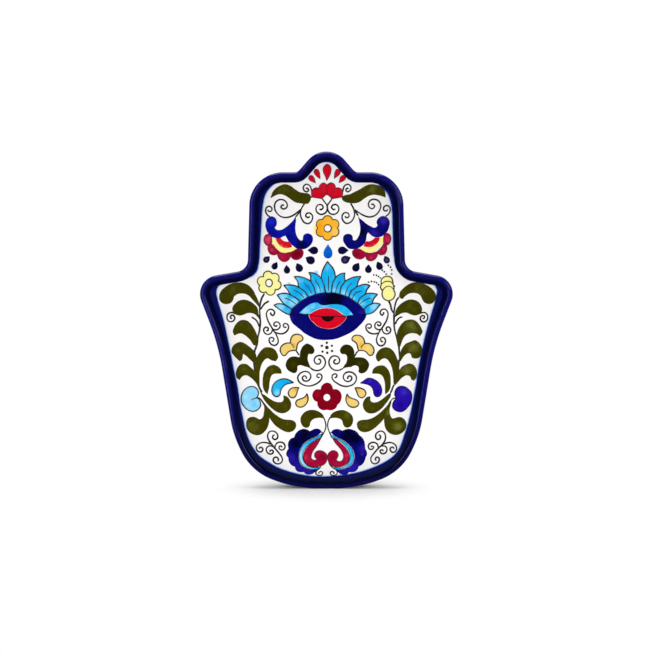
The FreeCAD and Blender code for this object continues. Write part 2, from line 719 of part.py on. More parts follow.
def carnations():
    """A carnation each side of the crest: blue calyx, red heart, yellow band, crimson petals and
    the navy drops round them."""
    petals = scallop_runs(CARNATION_RIM_PX) + [CARNATION_SEAM_PX]
    band = [CARNATION_SEAM_PX[::-1], CARNATION_THROAT_PX[::-1]]
    heart = [CARNATION_THROAT_PX, CARNATION_HEART_PX]
    drops = new_body("navy_drops")
    enamel_pad(drops, "navy_side_drops",
               [edge for drop in NAVY_DROPS_PX for edge in drop_edges(drop)])
    mirror_right(drops)
    return [enamel_pair("blue_calyxes", [CALYX_PX]), enamel_pair("carnation_petals", [petals]),
            enamel_pair("carnation_bands", [band]), enamel_pair("carnation_hearts", [heart]), drops]


def side_flowers():
    """Yellow rosette on the left thumb's branch and yellow bud on the right one's."""
    bud = new_body("yellow_bud")
    for index, (centre, radius) in enumerate(YELLOW_BUD_PX, start=1):
        enamel_pad(bud, f"yellow_bud_swell_{index}", [circle(front_place(centre),
                                                             painted_length(radius))])
    return [rosette("yellow_rosette", YELLOW_ROSETTE_PX, SIX_PETALS), bud]


def eye():
    """The eye in the palm: crown of leaves, cobalt almond, turquoise lid, red iris, black pupil."""
    crown = enamel_pair("eye_crown", CROWN_LEAVES_PX)
    enamel_pad(crown, "eye_crown_centre", outline_edges(CROWN_CENTRE_PX))
    opening = [LID_TOP_PX, LID_FOOT_PX, IRIS_FOOT_PX[::-1]]
    return [crown,
            enamel("eye_rim", [[EYE_TOP_PX, EYE_FOOT_PX], opening]),
            enamel("eye_lid", [[LID_TOP_PX, LID_FOOT_PX, IRIS_TOP_PX]]),
            enamel("eye_iris", [[IRIS_FOOT_PX, IRIS_TOP_PX], [PUPIL_PX]]),
            enamel("eye_pupil", [[PUPIL_PX]])]


def palm_sprays():
    """Trefoils, olive sprays, crescents, gold drops and crimson rosette under the eye."""
    crescents = enamel_sides("turquoise_crescent", "blue_crescent", [CRESCENT_PX])
    return crescents + [enamel_pair("gold_trefoils", [TREFOIL_PX]),
                        enamel_pair("olive_sprays", [SPRAY_PX]),
                        enamel_pair("gold_drops", GOLD_DROPS_PX),
                        rosette("crimson_rosette", CRIMSON_ROSETTE_PX, FIVE_PETALS)]


def branches():
    """Olive branches down both sides, with a heart bud at the foot of each."""
    return (enamel_sides("branch_leaves_left", "branch_leaves_right", BRANCH_LEAVES_PX)
            + enamel_sides("inner_leaves_left", "inner_leaves_right",
                           [FORKED_LEAF_PX, HOOKED_LEAF_PX])
            + enamel_sides("turquoise_bud", "blue_bud", [HEART_BUD_PX])
            + enamel_sides("lower_leaves_left", "lower_leaves_right", [LOWER_LEAF_PX, TWIN_LEAF_PX]))


def heel_flower():
    """Arch leaves and the twin flower of blue scallops, turquoise bands and crimson paisleys."""
    scallops = scallop_runs(SCALLOP_RIM_PX) + [SCALLOP_SEAM_PX]
    band = [SCALLOP_SEAM_PX[::-1], BAND_SEAM_PX[::-1]]
    return [enamel_pair("arch_leaves", [ARCH_LEAF_PX]), enamel_pair("flower_scallops", [scallops]),
            enamel_pair("flower_bands", [band]), enamel_pair("flower_paisleys", [PAISLEY_PX])]


# Check and export


def check_document(pieces):
    """Stop on any failed feature and on any sub-part without a sound solid."""
    for item in document.Objects:
        if "Invalid" in item.State or "Error" in item.State:
            raise RuntimeError("failed feature: " + item.Label)
    for piece in pieces:
        if piece.Shape.isNull() or not piece.Shape.isValid() or not piece.Shape.Solids:
            raise RuntimeError("unsound sub-part: " + piece.Label)


def export(pieces):
    """One file for each sub-part."""
    os.makedirs("parts", exist_ok=True)
    for piece in pieces:
        piece.Shape.exportStep(os.path.join("parts", piece.Label + ".step"))


def main():
    """Build, check and export the ornament."""
    fill_sheet()
    clay = dish_form("clay_dish", 0)
    foot = foot_ring()
    pieces = [clay, foot] + glaze_coats(clay, foot)
    for motif in (crest, carnations, side_flowers, eye, palm_sprays, branches, heel_flower):
        pieces += motif()
    check_document(pieces)
    export(pieces)
    for piece in pieces:
        print(piece.Label, len(piece.Shape.Solids), round(piece.Shape.Volume, 1))


main()
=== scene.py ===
"""Looks of a hamsa hand ornament: a shallow hand-shaped dish in glazed pottery, painted by hand.

The dish has a rolled cobalt rim. Its white floor carries raised pools of enamel, drawn round an eye,
and black liner scrolls. The ornament is fired into one rigid body.
"""

import functools
import json
import logging
import math
from dataclasses import dataclass, field
from enum import Enum
from typing import Callable, NamedTuple, Sequence

import bpy
import numpy as np
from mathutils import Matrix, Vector
from mathutils.geometry import delaunay_2d_cdt

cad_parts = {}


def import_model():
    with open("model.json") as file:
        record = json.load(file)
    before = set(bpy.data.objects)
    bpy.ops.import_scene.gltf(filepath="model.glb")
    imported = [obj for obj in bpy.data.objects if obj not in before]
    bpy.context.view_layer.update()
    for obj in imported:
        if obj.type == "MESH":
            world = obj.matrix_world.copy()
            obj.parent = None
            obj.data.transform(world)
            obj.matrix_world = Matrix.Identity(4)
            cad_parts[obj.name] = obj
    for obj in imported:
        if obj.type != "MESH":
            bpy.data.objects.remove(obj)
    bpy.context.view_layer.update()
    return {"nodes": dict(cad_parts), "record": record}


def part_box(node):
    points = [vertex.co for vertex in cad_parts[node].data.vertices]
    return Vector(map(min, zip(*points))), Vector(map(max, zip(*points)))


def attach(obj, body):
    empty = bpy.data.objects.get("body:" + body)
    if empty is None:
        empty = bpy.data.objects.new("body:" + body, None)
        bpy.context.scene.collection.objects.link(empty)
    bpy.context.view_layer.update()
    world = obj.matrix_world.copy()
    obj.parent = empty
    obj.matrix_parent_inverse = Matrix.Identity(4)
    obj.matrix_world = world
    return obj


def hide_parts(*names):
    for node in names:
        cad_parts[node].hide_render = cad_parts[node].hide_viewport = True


log = logging.getLogger("hamsa")

MM = 0.001
BODY = "root"
SMOOTH_DEGREES = 50
TINY = 1e-12
WELD = 1e-7


class Corner(NamedTuple):
    """A point of a painted outline at which the brush turned sharply."""

    x: float
    y: float


Point = tuple[float, float]
Path = Sequence[Point]
Colour = tuple[int, int, int]
Reading = dict["Attribute", np.ndarray]


@dataclass(frozen=True)
class Shade:
    """A soft spot in a pool of enamel: its place and reach in pixels, and its tone from -1, pale,
    to 1, deep. Some pale spots on the olive leaves are painted highlights that stand for glare."""

    x: float
    y: float
    reach: float
    tone: float


def rgb(red: int, green: int, blue: int) -> tuple[float, float, float, float]:
    """Shader colour of a colour as seen, 0 to 255 a channel."""
    linear = []
    for channel in (red, green, blue):
        value = channel / 255
        linear.append(value / 12.92 if value <= 0.04045 else ((value + 0.055) / 1.055) ** 2.4)
    return (*linear, 1.0)


@dataclass(frozen=True)
class Picture:
    """Places on the reference picture and on the painted front, in metres."""

    hand_top: float
    hand_height: float
    centre_px: float = 326.4
    fingertip_px: float = 151.6
    hand_px: float = 336.8

    @property
    def pixel(self) -> float:
        """Length on the front of one pixel."""
        return self.hand_height / self.hand_px

    def place(self, points: Path) -> np.ndarray:
        """Across and up on the front.

        Args:
            points: Places in pixels.

        Returns:
            One row for each point.
        """
        flat = np.array([(point[0], point[1]) for point in points], dtype=float)
        across = (flat[:, 0] - self.centre_px) * self.pixel
        up = self.hand_top - (flat[:, 1] - self.fingertip_px) * self.pixel
        return np.column_stack((across, up))


# Curves


def smooth_run(points: np.ndarray, step: float, closed: bool) -> np.ndarray:
    """A smooth curve through points.

    Args:
        points: The points, one a row.
        step: Distance between samples.
        closed: Whether the curve runs back to its start.

    Returns:
        Samples along the curve. A closed curve doesn't repeat its first.
    """
    if len(points) < 3 and not closed:
        ahead = points[1] - points[0]
        count = max(2, math.ceil(np.linalg.norm(ahead) / step) + 1)
        return points[0] + np.linspace(0, 1, count)[:, None] * ahead
    if closed:
        wide = np.vstack((points[-1:], points, points[:2]))
    else:
        wide = np.vstack((2 * points[:1] - points[1:2], points, 2 * points[-1:] - points[-2:-1]))
    chord = np.diff(wide, axis=0)
    length = np.linalg.norm(chord, axis=1)
    slope = chord / length[:, None]
    weight = (length[:-1] + length[1:])[:, None]
    tangent = (slope[:-1] * length[1:, None] + slope[1:] * length[:-1, None]) / weight
    samples = []
    for index in range(len(wide) - 3):
        start, end = wide[index + 1], wide[index + 2]
        reach = length[index + 1]
        count = max(1, round(reach / step))
        t = (np.arange(count) / count)[:, None]
        samples.append((2 * t**3 - 3 * t**2 + 1) * start + (t**3 - 2 * t**2 + t) * reach * tangent[index]
                       + (3 * t**2 - 2 * t**3) * end + (t**3 - t**2) * reach * tangent[index + 1])
    if not closed:
        samples.append(points[-1:])
    return np.vstack(samples)


def outline_samples(picture: Picture, outline: Path, step: float) -> np.ndarray:
    """Samples round a closed painted outline, sharp at its corners and smooth elsewhere.

    Args:
        picture: The frame that the outline's pixels lie in.
        outline: The outline's points, of which any may be a Corner.
        step: Distance between samples.

    Returns:
        The samples, one a row, with no repeated first.
    """
    corners = [index for index, point in enumerate(outline) if isinstance(point, Corner)]
    places = picture.place(outline)
    if not corners:
        return smooth_run(places, step, closed=True)
    pieces = []
    for start, end in zip(corners, corners[1:] + [corners[0] + len(outline)]):
        run = places[[index % len(outline) for index in range(start, end + 1)]]
        pieces.append(smooth_run(run, step, closed=False)[:-1])
    return np.vstack(pieces)


def drop_outline(tip: Point, head: Point, radius: float) -> list[Point]:
    """Outline of a painted drop: a sharp tip and a round head, in pixels."""
    away = math.atan2(head[1] - tip[1], head[0] - tip[0])
    outline: list[Point] = [Corner(*tip)]
    for turn in (-100, -60, -20, 20, 60, 100):
        angle = away + math.radians(turn)
        outline.append((head[0] + radius * math.cos(angle), head[1] + radius * math.sin(angle)))
    return outline


def rosette_outline(centre: Point, reach: float, petal: float, angles: Sequence[float]) -> list[Point]:
    """Outline of a round flower of petals that meet in notches, in pixels.

    Args:
        centre: Middle of the flower.
        reach: Distance of each petal's own middle.
        petal: Radius of a petal.
        angles: Direction of each petal in degrees, rising, counted anticlockwise from the right.

    Returns:
        The outline, with a corner at each notch.
    """
    outline: list[Point] = []
    for index, angle in enumerate(angles):
        following = angles[(index + 1) % len(angles)] + (360 if index + 1 == len(angles) else 0)
        middle = (centre[0] + reach * math.cos(math.radians(angle)),
                  centre[1] - reach * math.sin(math.radians(angle)))
        for turn in (-55, 0, 55):
            bearing = math.radians(angle + turn)
            outline.append((middle[0] + petal * math.cos(bearing), middle[1] - petal * math.sin(bearing)))
        halfway = math.radians((angle + following) / 2)
        gap = math.radians(following - angle) / 2
        notch = reach * math.cos(gap) + math.sqrt(max(0.0, petal**2 - (reach * math.sin(gap))**2))
        outline.append(Corner(centre[0] + notch * math.cos(halfway), centre[1] - notch * math.sin(halfway)))
    return outline


def ring_outline(centre: Point, across: float, down: float) -> list[Point]:
    """Round or oval outline in pixels."""
    turns = [math.radians(turn) for turn in range(0, 360, 45)]
    return [(centre[0] + across * math.cos(turn), centre[1] + down * math.sin(turn)) for turn in turns]


def spread(loop: np.ndarray, reach: float) -> np.ndarray:
    """A closed loop moved out by that distance all round."""
    ahead = np.roll(loop, -1, axis=0)
    side = math.copysign(1.0, (loop[:, 0] * ahead[:, 1] - ahead[:, 0] * loop[:, 1]).sum())
    tangent = ahead - np.roll(loop, 1, axis=0)
    tangent /= np.maximum(np.linalg.norm(tangent, axis=1), TINY)[:, None]
    return loop + side * reach * np.column_stack((tangent[:, 1], -tangent[:, 0]))


def border_distance(points: np.ndarray, loops: Sequence[np.ndarray]) -> np.ndarray:
    """Distance of each point from the nearest of several closed loops."""
    nearest = np.full(len(points), np.inf)
    for loop in loops:
        along = np.roll(loop, -1, axis=0) - loop
        square = (along**2).sum(axis=1)
        for start in range(0, len(points), 1000):
            offset = points[start:start + 1000, None, :] - loop[None, :, :]
            share = np.clip((offset * along).sum(axis=2) / square, 0, 1)
            gap = np.sqrt(((offset - share[:, :, None] * along)**2).sum(axis=2)).min(axis=1)
            nearest[start:start + 1000] = np.minimum(nearest[start:start + 1000], gap)
    return nearest


def inside(points: np.ndarray, loops: Sequence[np.ndarray]) -> np.ndarray:
    """Whether each point lies inside the first loop and outside the others, by crossings."""
    crossings = np.zeros(len(points), dtype=int)
    for loop in loops:
        following = np.roll(loop, -1, axis=0)
        low, high = loop[:, 1], following[:, 1]
        level = points[:, 1][:, None]
        spans = (low <= level) != (high <= level)
        rise = np.where(high == low, 1, high - low)
        meet = loop[:, 0] + (level - low) / rise * (following[:, 0] - loop[:, 0])
        crossings += (spans & (points[:, 0][:, None] < meet)).sum(axis=1)
    return crossings % 2 == 1


# Finishes


class Attribute(Enum):
    """Values that a piece's mesh carries for its finish."""

    EDGE = "edge_mm"
    TONE = "tone"
    BAND = "band_mm"
    MARGIN = "margin"


class Shader:
    """A material's nodes, with short calls for those that the finishes share.

    Scales are in swirls a metre. Sheen is the slow change of the gloss, ripple the fine unevenness
    of the fired surface, whose depth is in metres.
    """

    IOR = 1.5
    SPECULAR = 0.35
    SHEEN_SCALE = 150.0
    RIPPLE_SCALE = 420.0
    RIPPLE_STRENGTH = 0.3
    RIPPLE_DEPTH = 0.03 * MM

    def __init__(self, name: str, roughness: float) -> None:
        """Start a glossy fired finish.

        Args:
            name: The material's name.
            roughness: Roughness of its surface.
        """
        self.material = bpy.data.materials.new(name)
        self.material.use_nodes = True
        self.nodes = self.material.node_tree.nodes
        self.links = self.material.node_tree.links
        self.surface = self.nodes["Principled BSDF"]
        self.surface.inputs["IOR"].default_value = self.IOR
        self.surface.inputs["Specular IOR Level"].default_value = self.SPECULAR
        self.place = self.nodes.new("ShaderNodeTexCoord").outputs["Object"]
        sheen = self.math("MULTIPLY", self.math("ADD", self.noise(self.SHEEN_SCALE), 0.5), roughness)
        self.feed(sheen, self.surface.inputs["Roughness"])
        ripple = self.nodes.new("ShaderNodeBump")
        ripple.inputs["Strength"].default_value = self.RIPPLE_STRENGTH
        ripple.inputs["Distance"].default_value = self.RIPPLE_DEPTH
        self.feed(self.noise(self.RIPPLE_SCALE, 1.0), ripple.inputs["Height"])
        self.feed(ripple.outputs["Normal"], self.surface.inputs["Normal"])

    def attribute(self, kind: Attribute) -> bpy.types.NodeSocket:
        """The mesh's own value of that kind."""
        node = self.nodes.new("ShaderNodeAttribute")
        node.attribute_name = kind.value
        return node.outputs["Fac"]

    def noise(self, scale: float, detail: float = 2.0) -> bpy.types.NodeSocket:
        """Cloudy value round 0.5, with that many swirls a metre."""
        node = self.nodes.new("ShaderNodeTexNoise")
        node.inputs["Scale"].default_value = scale
        node.inputs["Detail"].default_value = detail
        self.links.new(self.place, node.inputs["Vector"])
        return node.outputs["Fac"]

    def math(self, operation: str, first: object, second: object) -> bpy.types.NodeSocket:
        """Result of one sum. Each side is a socket or a number."""
        node = self.nodes.new("ShaderNodeMath")
        node.operation = operation
        for socket, value in zip(node.inputs, (first, second)):
            self.feed(value, socket)
        return node.outputs["Value"]

    def feed(self, value: object, socket: bpy.types.NodeSocket) -> None:
        """Give a socket a number or a colour, or link another socket to it."""
        if isinstance(value, bpy.types.NodeSocket):
            self.links.new(value, socket)
        else:
            socket.default_value = value

    def share(self, value: bpy.types.NodeSocket, low: float, high: float) -> bpy.types.NodeSocket:
        """How far a value is from low to high, from 0 to 1, eased at both ends."""
        node = self.nodes.new("ShaderNodeMapRange")
        node.interpolation_type = "SMOOTHSTEP"
        self.links.new(value, node.inputs["Value"])
        node.inputs["From Min"].default_value = low
        node.inputs["From Max"].default_value = high
        return node.outputs["Result"]

    def blend(self, share: bpy.types.NodeSocket, first: object, second: object) -> bpy.types.NodeSocket:
        """Colour that goes from first to second with the share."""
        node = self.nodes.new("ShaderNodeMix")
        node.data_type = "RGBA"
        self.links.new(share, node.inputs["Factor"])
        self.feed(first, node.inputs["A"])
        self.feed(second, node.inputs["B"])
        return node.outputs["Result"]

    def ramp(self, value: bpy.types.NodeSocket, stops: Sequence[float],
             colours: Sequence[Colour]) -> bpy.types.NodeSocket:
        """Colour read off a row of stops from 0 to 1, each with its own colour."""
        node = self.nodes.new("ShaderNodeValToRGB")
        self.links.new(value, node.inputs["Fac"])
        elements = node.color_ramp.elements
        while len(elements) < len(stops):
            elements.new(0.5)
        for element, stop, colour in zip(elements, stops, colours):
            element.position = stop
            element.color = rgb(*colour)
        return node.outputs["Color"]

    def colour(self, value: object) -> bpy.types.Material:
        """Give the surface its colour and return the material."""
        self.feed(value, self.surface.inputs["Base Color"])
        return self.material


@dataclass(frozen=True)
class Enamel:
    """An enamel that pools: its colour, deeper where it pools and paler where it ran thin. On some
    olive leaves the pale colour is a painted highlight that stands for glare.

    Colours are given as seen, 0 to 255 a channel. Mottle says how cloudy it is, rim how much
    deeper it is at its edge, and spread how far it ran past its painted outline.
    """

    name: str
    body: Colour
    deep: Colour
    pale: Colour
    mottle: float = 0.7
    rim: float = 0.4
    rim_mm: float = 0.45
    roughness: float = 0.12
    spread_mm: float = 0.0
    cloud_scale: float = 330.0
    grain_scale: float = 1600.0

    @functools.cache
    def material(self) -> bpy.types.Material:
        """The enamel's material, made once and shared by its pools."""
        shader = Shader(self.name, self.roughness)
        cloud = shader.math("SUBTRACT", shader.noise(self.cloud_scale), 0.5)
        grain = shader.math("SUBTRACT", shader.noise(self.grain_scale, 1.0), 0.5)
        edge = shader.share(shader.attribute(Attribute.EDGE), self.rim_mm, 0.0)
        tone = shader.math("ADD", shader.attribute(Attribute.TONE), shader.math("MULTIPLY", edge, self.rim))
        tone = shader.math("ADD", tone, shader.math("MULTIPLY", cloud, self.mottle))
        tone = shader.math("ADD", tone, shader.math("MULTIPLY", grain, self.mottle / 2))
        toned = shader.blend(shader.share(tone, 0.0, 1.0), rgb(*self.body), rgb(*self.deep))
        thin = shader.share(tone, 0.0, -1.0)
        return shader.colour(shader.blend(thin, toned, rgb(*self.pale)))


# The olive's pale colour is set to the glare on the right leaves: a painted highlight.
OLIVE = Enamel("olive_enamel", (60, 58, 0), (35, 33, 0), (102, 107, 38), mottle=0.9, rim=0.55, spread_mm=0.16)
DARK_OLIVE = Enamel("dark_olive_enamel", (40, 38, 0), (24, 22, 0), (76, 80, 12), mottle=0.9, rim=0.5,
                     spread_mm=0.22)
RED = Enamel("red_enamel", (208, 4, 34), (150, 0, 32), (234, 60, 72), mottle=0.4)
CRIMSON = Enamel("crimson_enamel", (164, 4, 54), (108, 0, 24), (224, 84, 116), mottle=0.7)
WINE = Enamel("wine_enamel", (126, 0, 24), (94, 0, 12), (172, 10, 50), mottle=0.5)
SCARLET = Enamel("scarlet_enamel", (202, 8, 36), (176, 0, 36), (240, 130, 56), mottle=0.3)
GOLD = Enamel("gold_enamel", (230, 198, 112), (220, 156, 34), (250, 224, 150), mottle=0.5, rim=0.3)
ORANGE = Enamel("orange_enamel", (244, 176, 42), (240, 150, 4), (247, 206, 110), mottle=0.4, rim=0.3)
YELLOW = Enamel("yellow_enamel", (240, 236, 152), (244, 226, 96), (255, 252, 190), mottle=0.4, rim=0.2)
CREAM = Enamel("cream_enamel", (255, 236, 140), (246, 214, 96), (255, 246, 180), mottle=0.3, rim=0.2)
TURQUOISE = Enamel("turquoise_enamel", (20, 170, 226), (0, 132, 210), (142, 214, 246), mottle=0.9, rim=0.3)
SKY = Enamel("sky_enamel", (138, 208, 240), (62, 176, 232), (178, 228, 250), mottle=0.8, rim=0.15)
COBALT = Enamel("cobalt_enamel", (4, 5, 106), (0, 0, 32), (40, 22, 156), mottle=0.6, rim=0.3)
ROYAL = Enamel("royal_enamel", (2, 10, 142), (0, 0, 62), (8, 34, 190), mottle=0.6, rim=0.3, spread_mm=0.12)
VIOLET = Enamel("violet_enamel", (36, 10, 160), (14, 0, 104), (70, 56, 204), mottle=0.5, rim=0.3)
AZURE = Enamel("azure_enamel", (0, 94, 198), (0, 50, 140), (50, 140, 220), mottle=0.4, rim=0.5)
NAVY = Enamel("navy_enamel", (10, 8, 52), (0, 0, 16), (66, 60, 118), mottle=0.5, rim=0.5, spread_mm=0.18)
BLACK = Enamel("black_enamel", (24, 10, 8), (8, 2, 2), (50, 40, 40), mottle=0.3)
LINER = Enamel("black_liner", (34, 29, 30), (12, 10, 12), (72, 66, 68), mottle=0.7, rim=0.0, roughness=0.3)
BROWN_LINER = Enamel("brown_liner", (60, 44, 12), (34, 24, 6), (110, 90, 44), mottle=0.8, rim=0.0,
                     roughness=0.3)
WINE_LINER = Enamel("wine_liner", (84, 4, 26), (50, 0, 14), (120, 20, 50), mottle=0.8, rim=0.0, roughness=0.3)


@dataclass(frozen=True)
class RimGlaze:
    """Cobalt glaze of the rim: blue outside and over the lip, near black down the inner wall, where
    thick cobalt is darkened further by painted shade.

    Stops are shares of the reach, counted in from the outer edge. Below heel_from, in metres, the
    heel's colours take over, and they are full at heel_full. These are painted light and shade: the
    heel's outer band and crest darker and its inner wall paler, as light from above falls there.
    """

    name: str = "cobalt_glaze"
    outside: Colour = (15, 13, 116)
    lip: Colour = (15, 13, 92)
    wall: Colour = (8, 11, 62)
    foot: Colour = (12, 15, 88)
    stops: tuple[float, ...] = (0.0, 0.34, 0.5, 0.8, 0.94)
    # painted light and shade at the heel: outer band and crest darker, inner wall paler
    heel: Colour = (6, 8, 62)
    shaded_heel_crest: Colour = (1, 1, 24)
    lit_heel_wall: Colour = (23, 27, 66)
    heel_stops: tuple[float, ...] = (0.0, 0.34, 0.42, 0.54, 0.66)
    heel_from: float = -0.095
    heel_full: float = -0.14
    heel_shading_share: float = 0.9
    reach_mm: float = 6.0
    roughness: float = 0.1
    gloss: float = 0.5
    gloss_stops: tuple[float, float] = (0.52, 0.36)
    sway: float = 0.14
    sway_scale: float = 220.0

    def material(self) -> bpy.types.Material:
        """Bands counted in from the outer edge. Round the heel painted shade darkens the lip and painted
        light makes the wall paler.
        """
        shader = Shader(self.name, self.roughness)
        cloud = shader.math("SUBTRACT", shader.noise(self.sway_scale), 0.5)
        place = shader.math("DIVIDE", shader.attribute(Attribute.BAND), self.reach_mm)
        gloss = shader.math("MULTIPLY", shader.share(place, *self.gloss_stops), self.gloss)
        shader.feed(gloss, shader.surface.inputs["Specular IOR Level"])
        place = shader.math("ADD", place, shader.math("MULTIPLY", cloud, self.sway))
        height = shader.nodes.new("ShaderNodeSeparateXYZ")
        shader.links.new(shader.place, height.inputs["Vector"])
        # painted light and shade: low on the rim the heel's colours take over, darker lip and paler inner wall
        low = shader.share(height.outputs["Z"], self.heel_from, self.heel_full)
        toned = shader.math("MULTIPLY", low, self.heel_shading_share)
        heel = shader.ramp(place, self.heel_stops,
                           (self.heel, self.heel, self.shaded_heel_crest, self.shaded_heel_crest, self.lit_heel_wall))
        side = shader.ramp(place, self.stops, (self.outside, self.lip, self.wall, self.wall, self.foot))
        return shader.colour(shader.blend(toned, side, heel))


@dataclass(frozen=True)
class FloorGlaze:
    """White glaze of the floor, with the rim's cobalt brushed over its border.

    Stops run from the cobalt, over its blue bleed, to clean white. Washes are the tones between
    which a wash of colour grows from nothing to full.
    """

    name: str = "white_glaze"
    white: Colour = (247, 245, 244)
    shadow: Colour = (240, 237, 236)
    navy: Colour = (14, 18, 92)
    bleed: Colour = (76, 122, 206)
    haze: Colour = (190, 212, 246)
    stops: tuple[float, ...] = (0.0, 0.36, 0.48, 0.62, 0.96)
    clean_stops: tuple[float, float] = (0.75, 1.0)
    roughness: float = 0.1
    ragged: float = 0.16
    ragged_scale: float = 900.0
    cloud_scale: float = 60.0
    yellow_wash: Colour = (255, 224, 110)
    yellow_tones: tuple[float, float] = (0.1, 0.8)
    blue_wash: Colour = (70, 190, 232)
    blue_tones: tuple[float, float] = (-0.1, -0.9)

    def material(self) -> bpy.types.Material:
        """Cobalt to white by the margin that the floor's mesh carries, with a ragged brush edge."""
        shader = Shader(self.name, self.roughness)
        uneven = shader.math("SUBTRACT", shader.noise(self.ragged_scale), 0.5)
        uneven = shader.math("MULTIPLY", uneven, self.ragged)
        place = shader.math("ADD", shader.math("MULTIPLY", shader.attribute(Attribute.MARGIN), 0.5), 0.5)
        place = shader.math("ADD", place, uneven)
        clean = shader.blend(shader.noise(self.cloud_scale), rgb(*self.shadow), rgb(*self.white))
        border = shader.ramp(place, self.stops, (self.navy, self.navy, self.bleed, self.haze, self.white))
        tinted = shader.blend(shader.share(place, *self.clean_stops), border, clean)
        wash = shader.attribute(Attribute.TONE)
        tinted = shader.blend(shader.share(wash, *self.yellow_tones), tinted, rgb(*self.yellow_wash))
        return shader.colour(shader.blend(shader.share(wash, *self.blue_tones), tinted, rgb(*self.blue_wash)))


@dataclass(frozen=True)
class PlainFired:
    """A plain fired surface: clear glaze over white slip, or bare clay."""

    name: str
    light: Colour
    dark: Colour
    roughness: float
    cloud_scale: float = 90.0
    cloud_share: float = 0.6
    grain_scale: float = 2500.0

    def material(self) -> bpy.types.Material:
        """Two near colours in soft clouds with a fine grain."""
        shader = Shader(self.name, self.roughness)
        cloud = shader.math("MULTIPLY", shader.noise(self.cloud_scale), self.cloud_share)
        grain = shader.math("MULTIPLY", shader.noise(self.grain_scale, 1.0), 1 - self.cloud_share)
        return shader.colour(shader.blend(shader.math("ADD", cloud, grain), rgb(*self.dark), rgb(*self.light)))


BACK_GLAZE = PlainFired("clear_glaze", (240, 236, 228), (226, 221, 210), 0.12)
BARE_CLAY = PlainFired("fired_clay", (226, 216, 200), (206, 194, 176), 0.75)


# Meshes


def select_only(piece: bpy.types.Object) -> None:
    """Select one piece alone and make it active."""
    bpy.ops.object.select_all(action="DESELECT")
    piece.select_set(True)
    bpy.context.view_layer.objects.active = piece


def finished(name: str, vertices: np.ndarray, faces: list[tuple[int, ...]], material: bpy.types.Material,
             values: Reading) -> bpy.types.Object:
    """A smooth-shaded piece from its vertices and faces.

    Args:
        name: The piece's name.
        vertices: Places in metres, one a row.
        faces: Vertex numbers of each face.
        material: Its finish.
        values: What the finish reads from the mesh, one number for each vertex.

    Returns:
        The piece, riding on the ornament's body.
    """
    mesh = bpy.data.meshes.new(name)
    mesh.from_pydata(vertices.tolist(), [], faces)
    for kind, numbers in values.items():
        attribute = mesh.attributes.new(kind.value, "FLOAT", "POINT")
        attribute.data.foreach_set("value", numbers.astype(np.float32))
    mesh.materials.append(material)
    mesh.update()
    piece = bpy.data.objects.new(name, mesh)
    bpy.context.collection.objects.link(piece)
    select_only(piece)
    bpy.ops.object.shade_smooth_by_angle(angle=math.radians(SMOOTH_DEGREES))
    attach(piece, BODY)
    log.info("%s: %d faces", name, len(faces))
    return piece


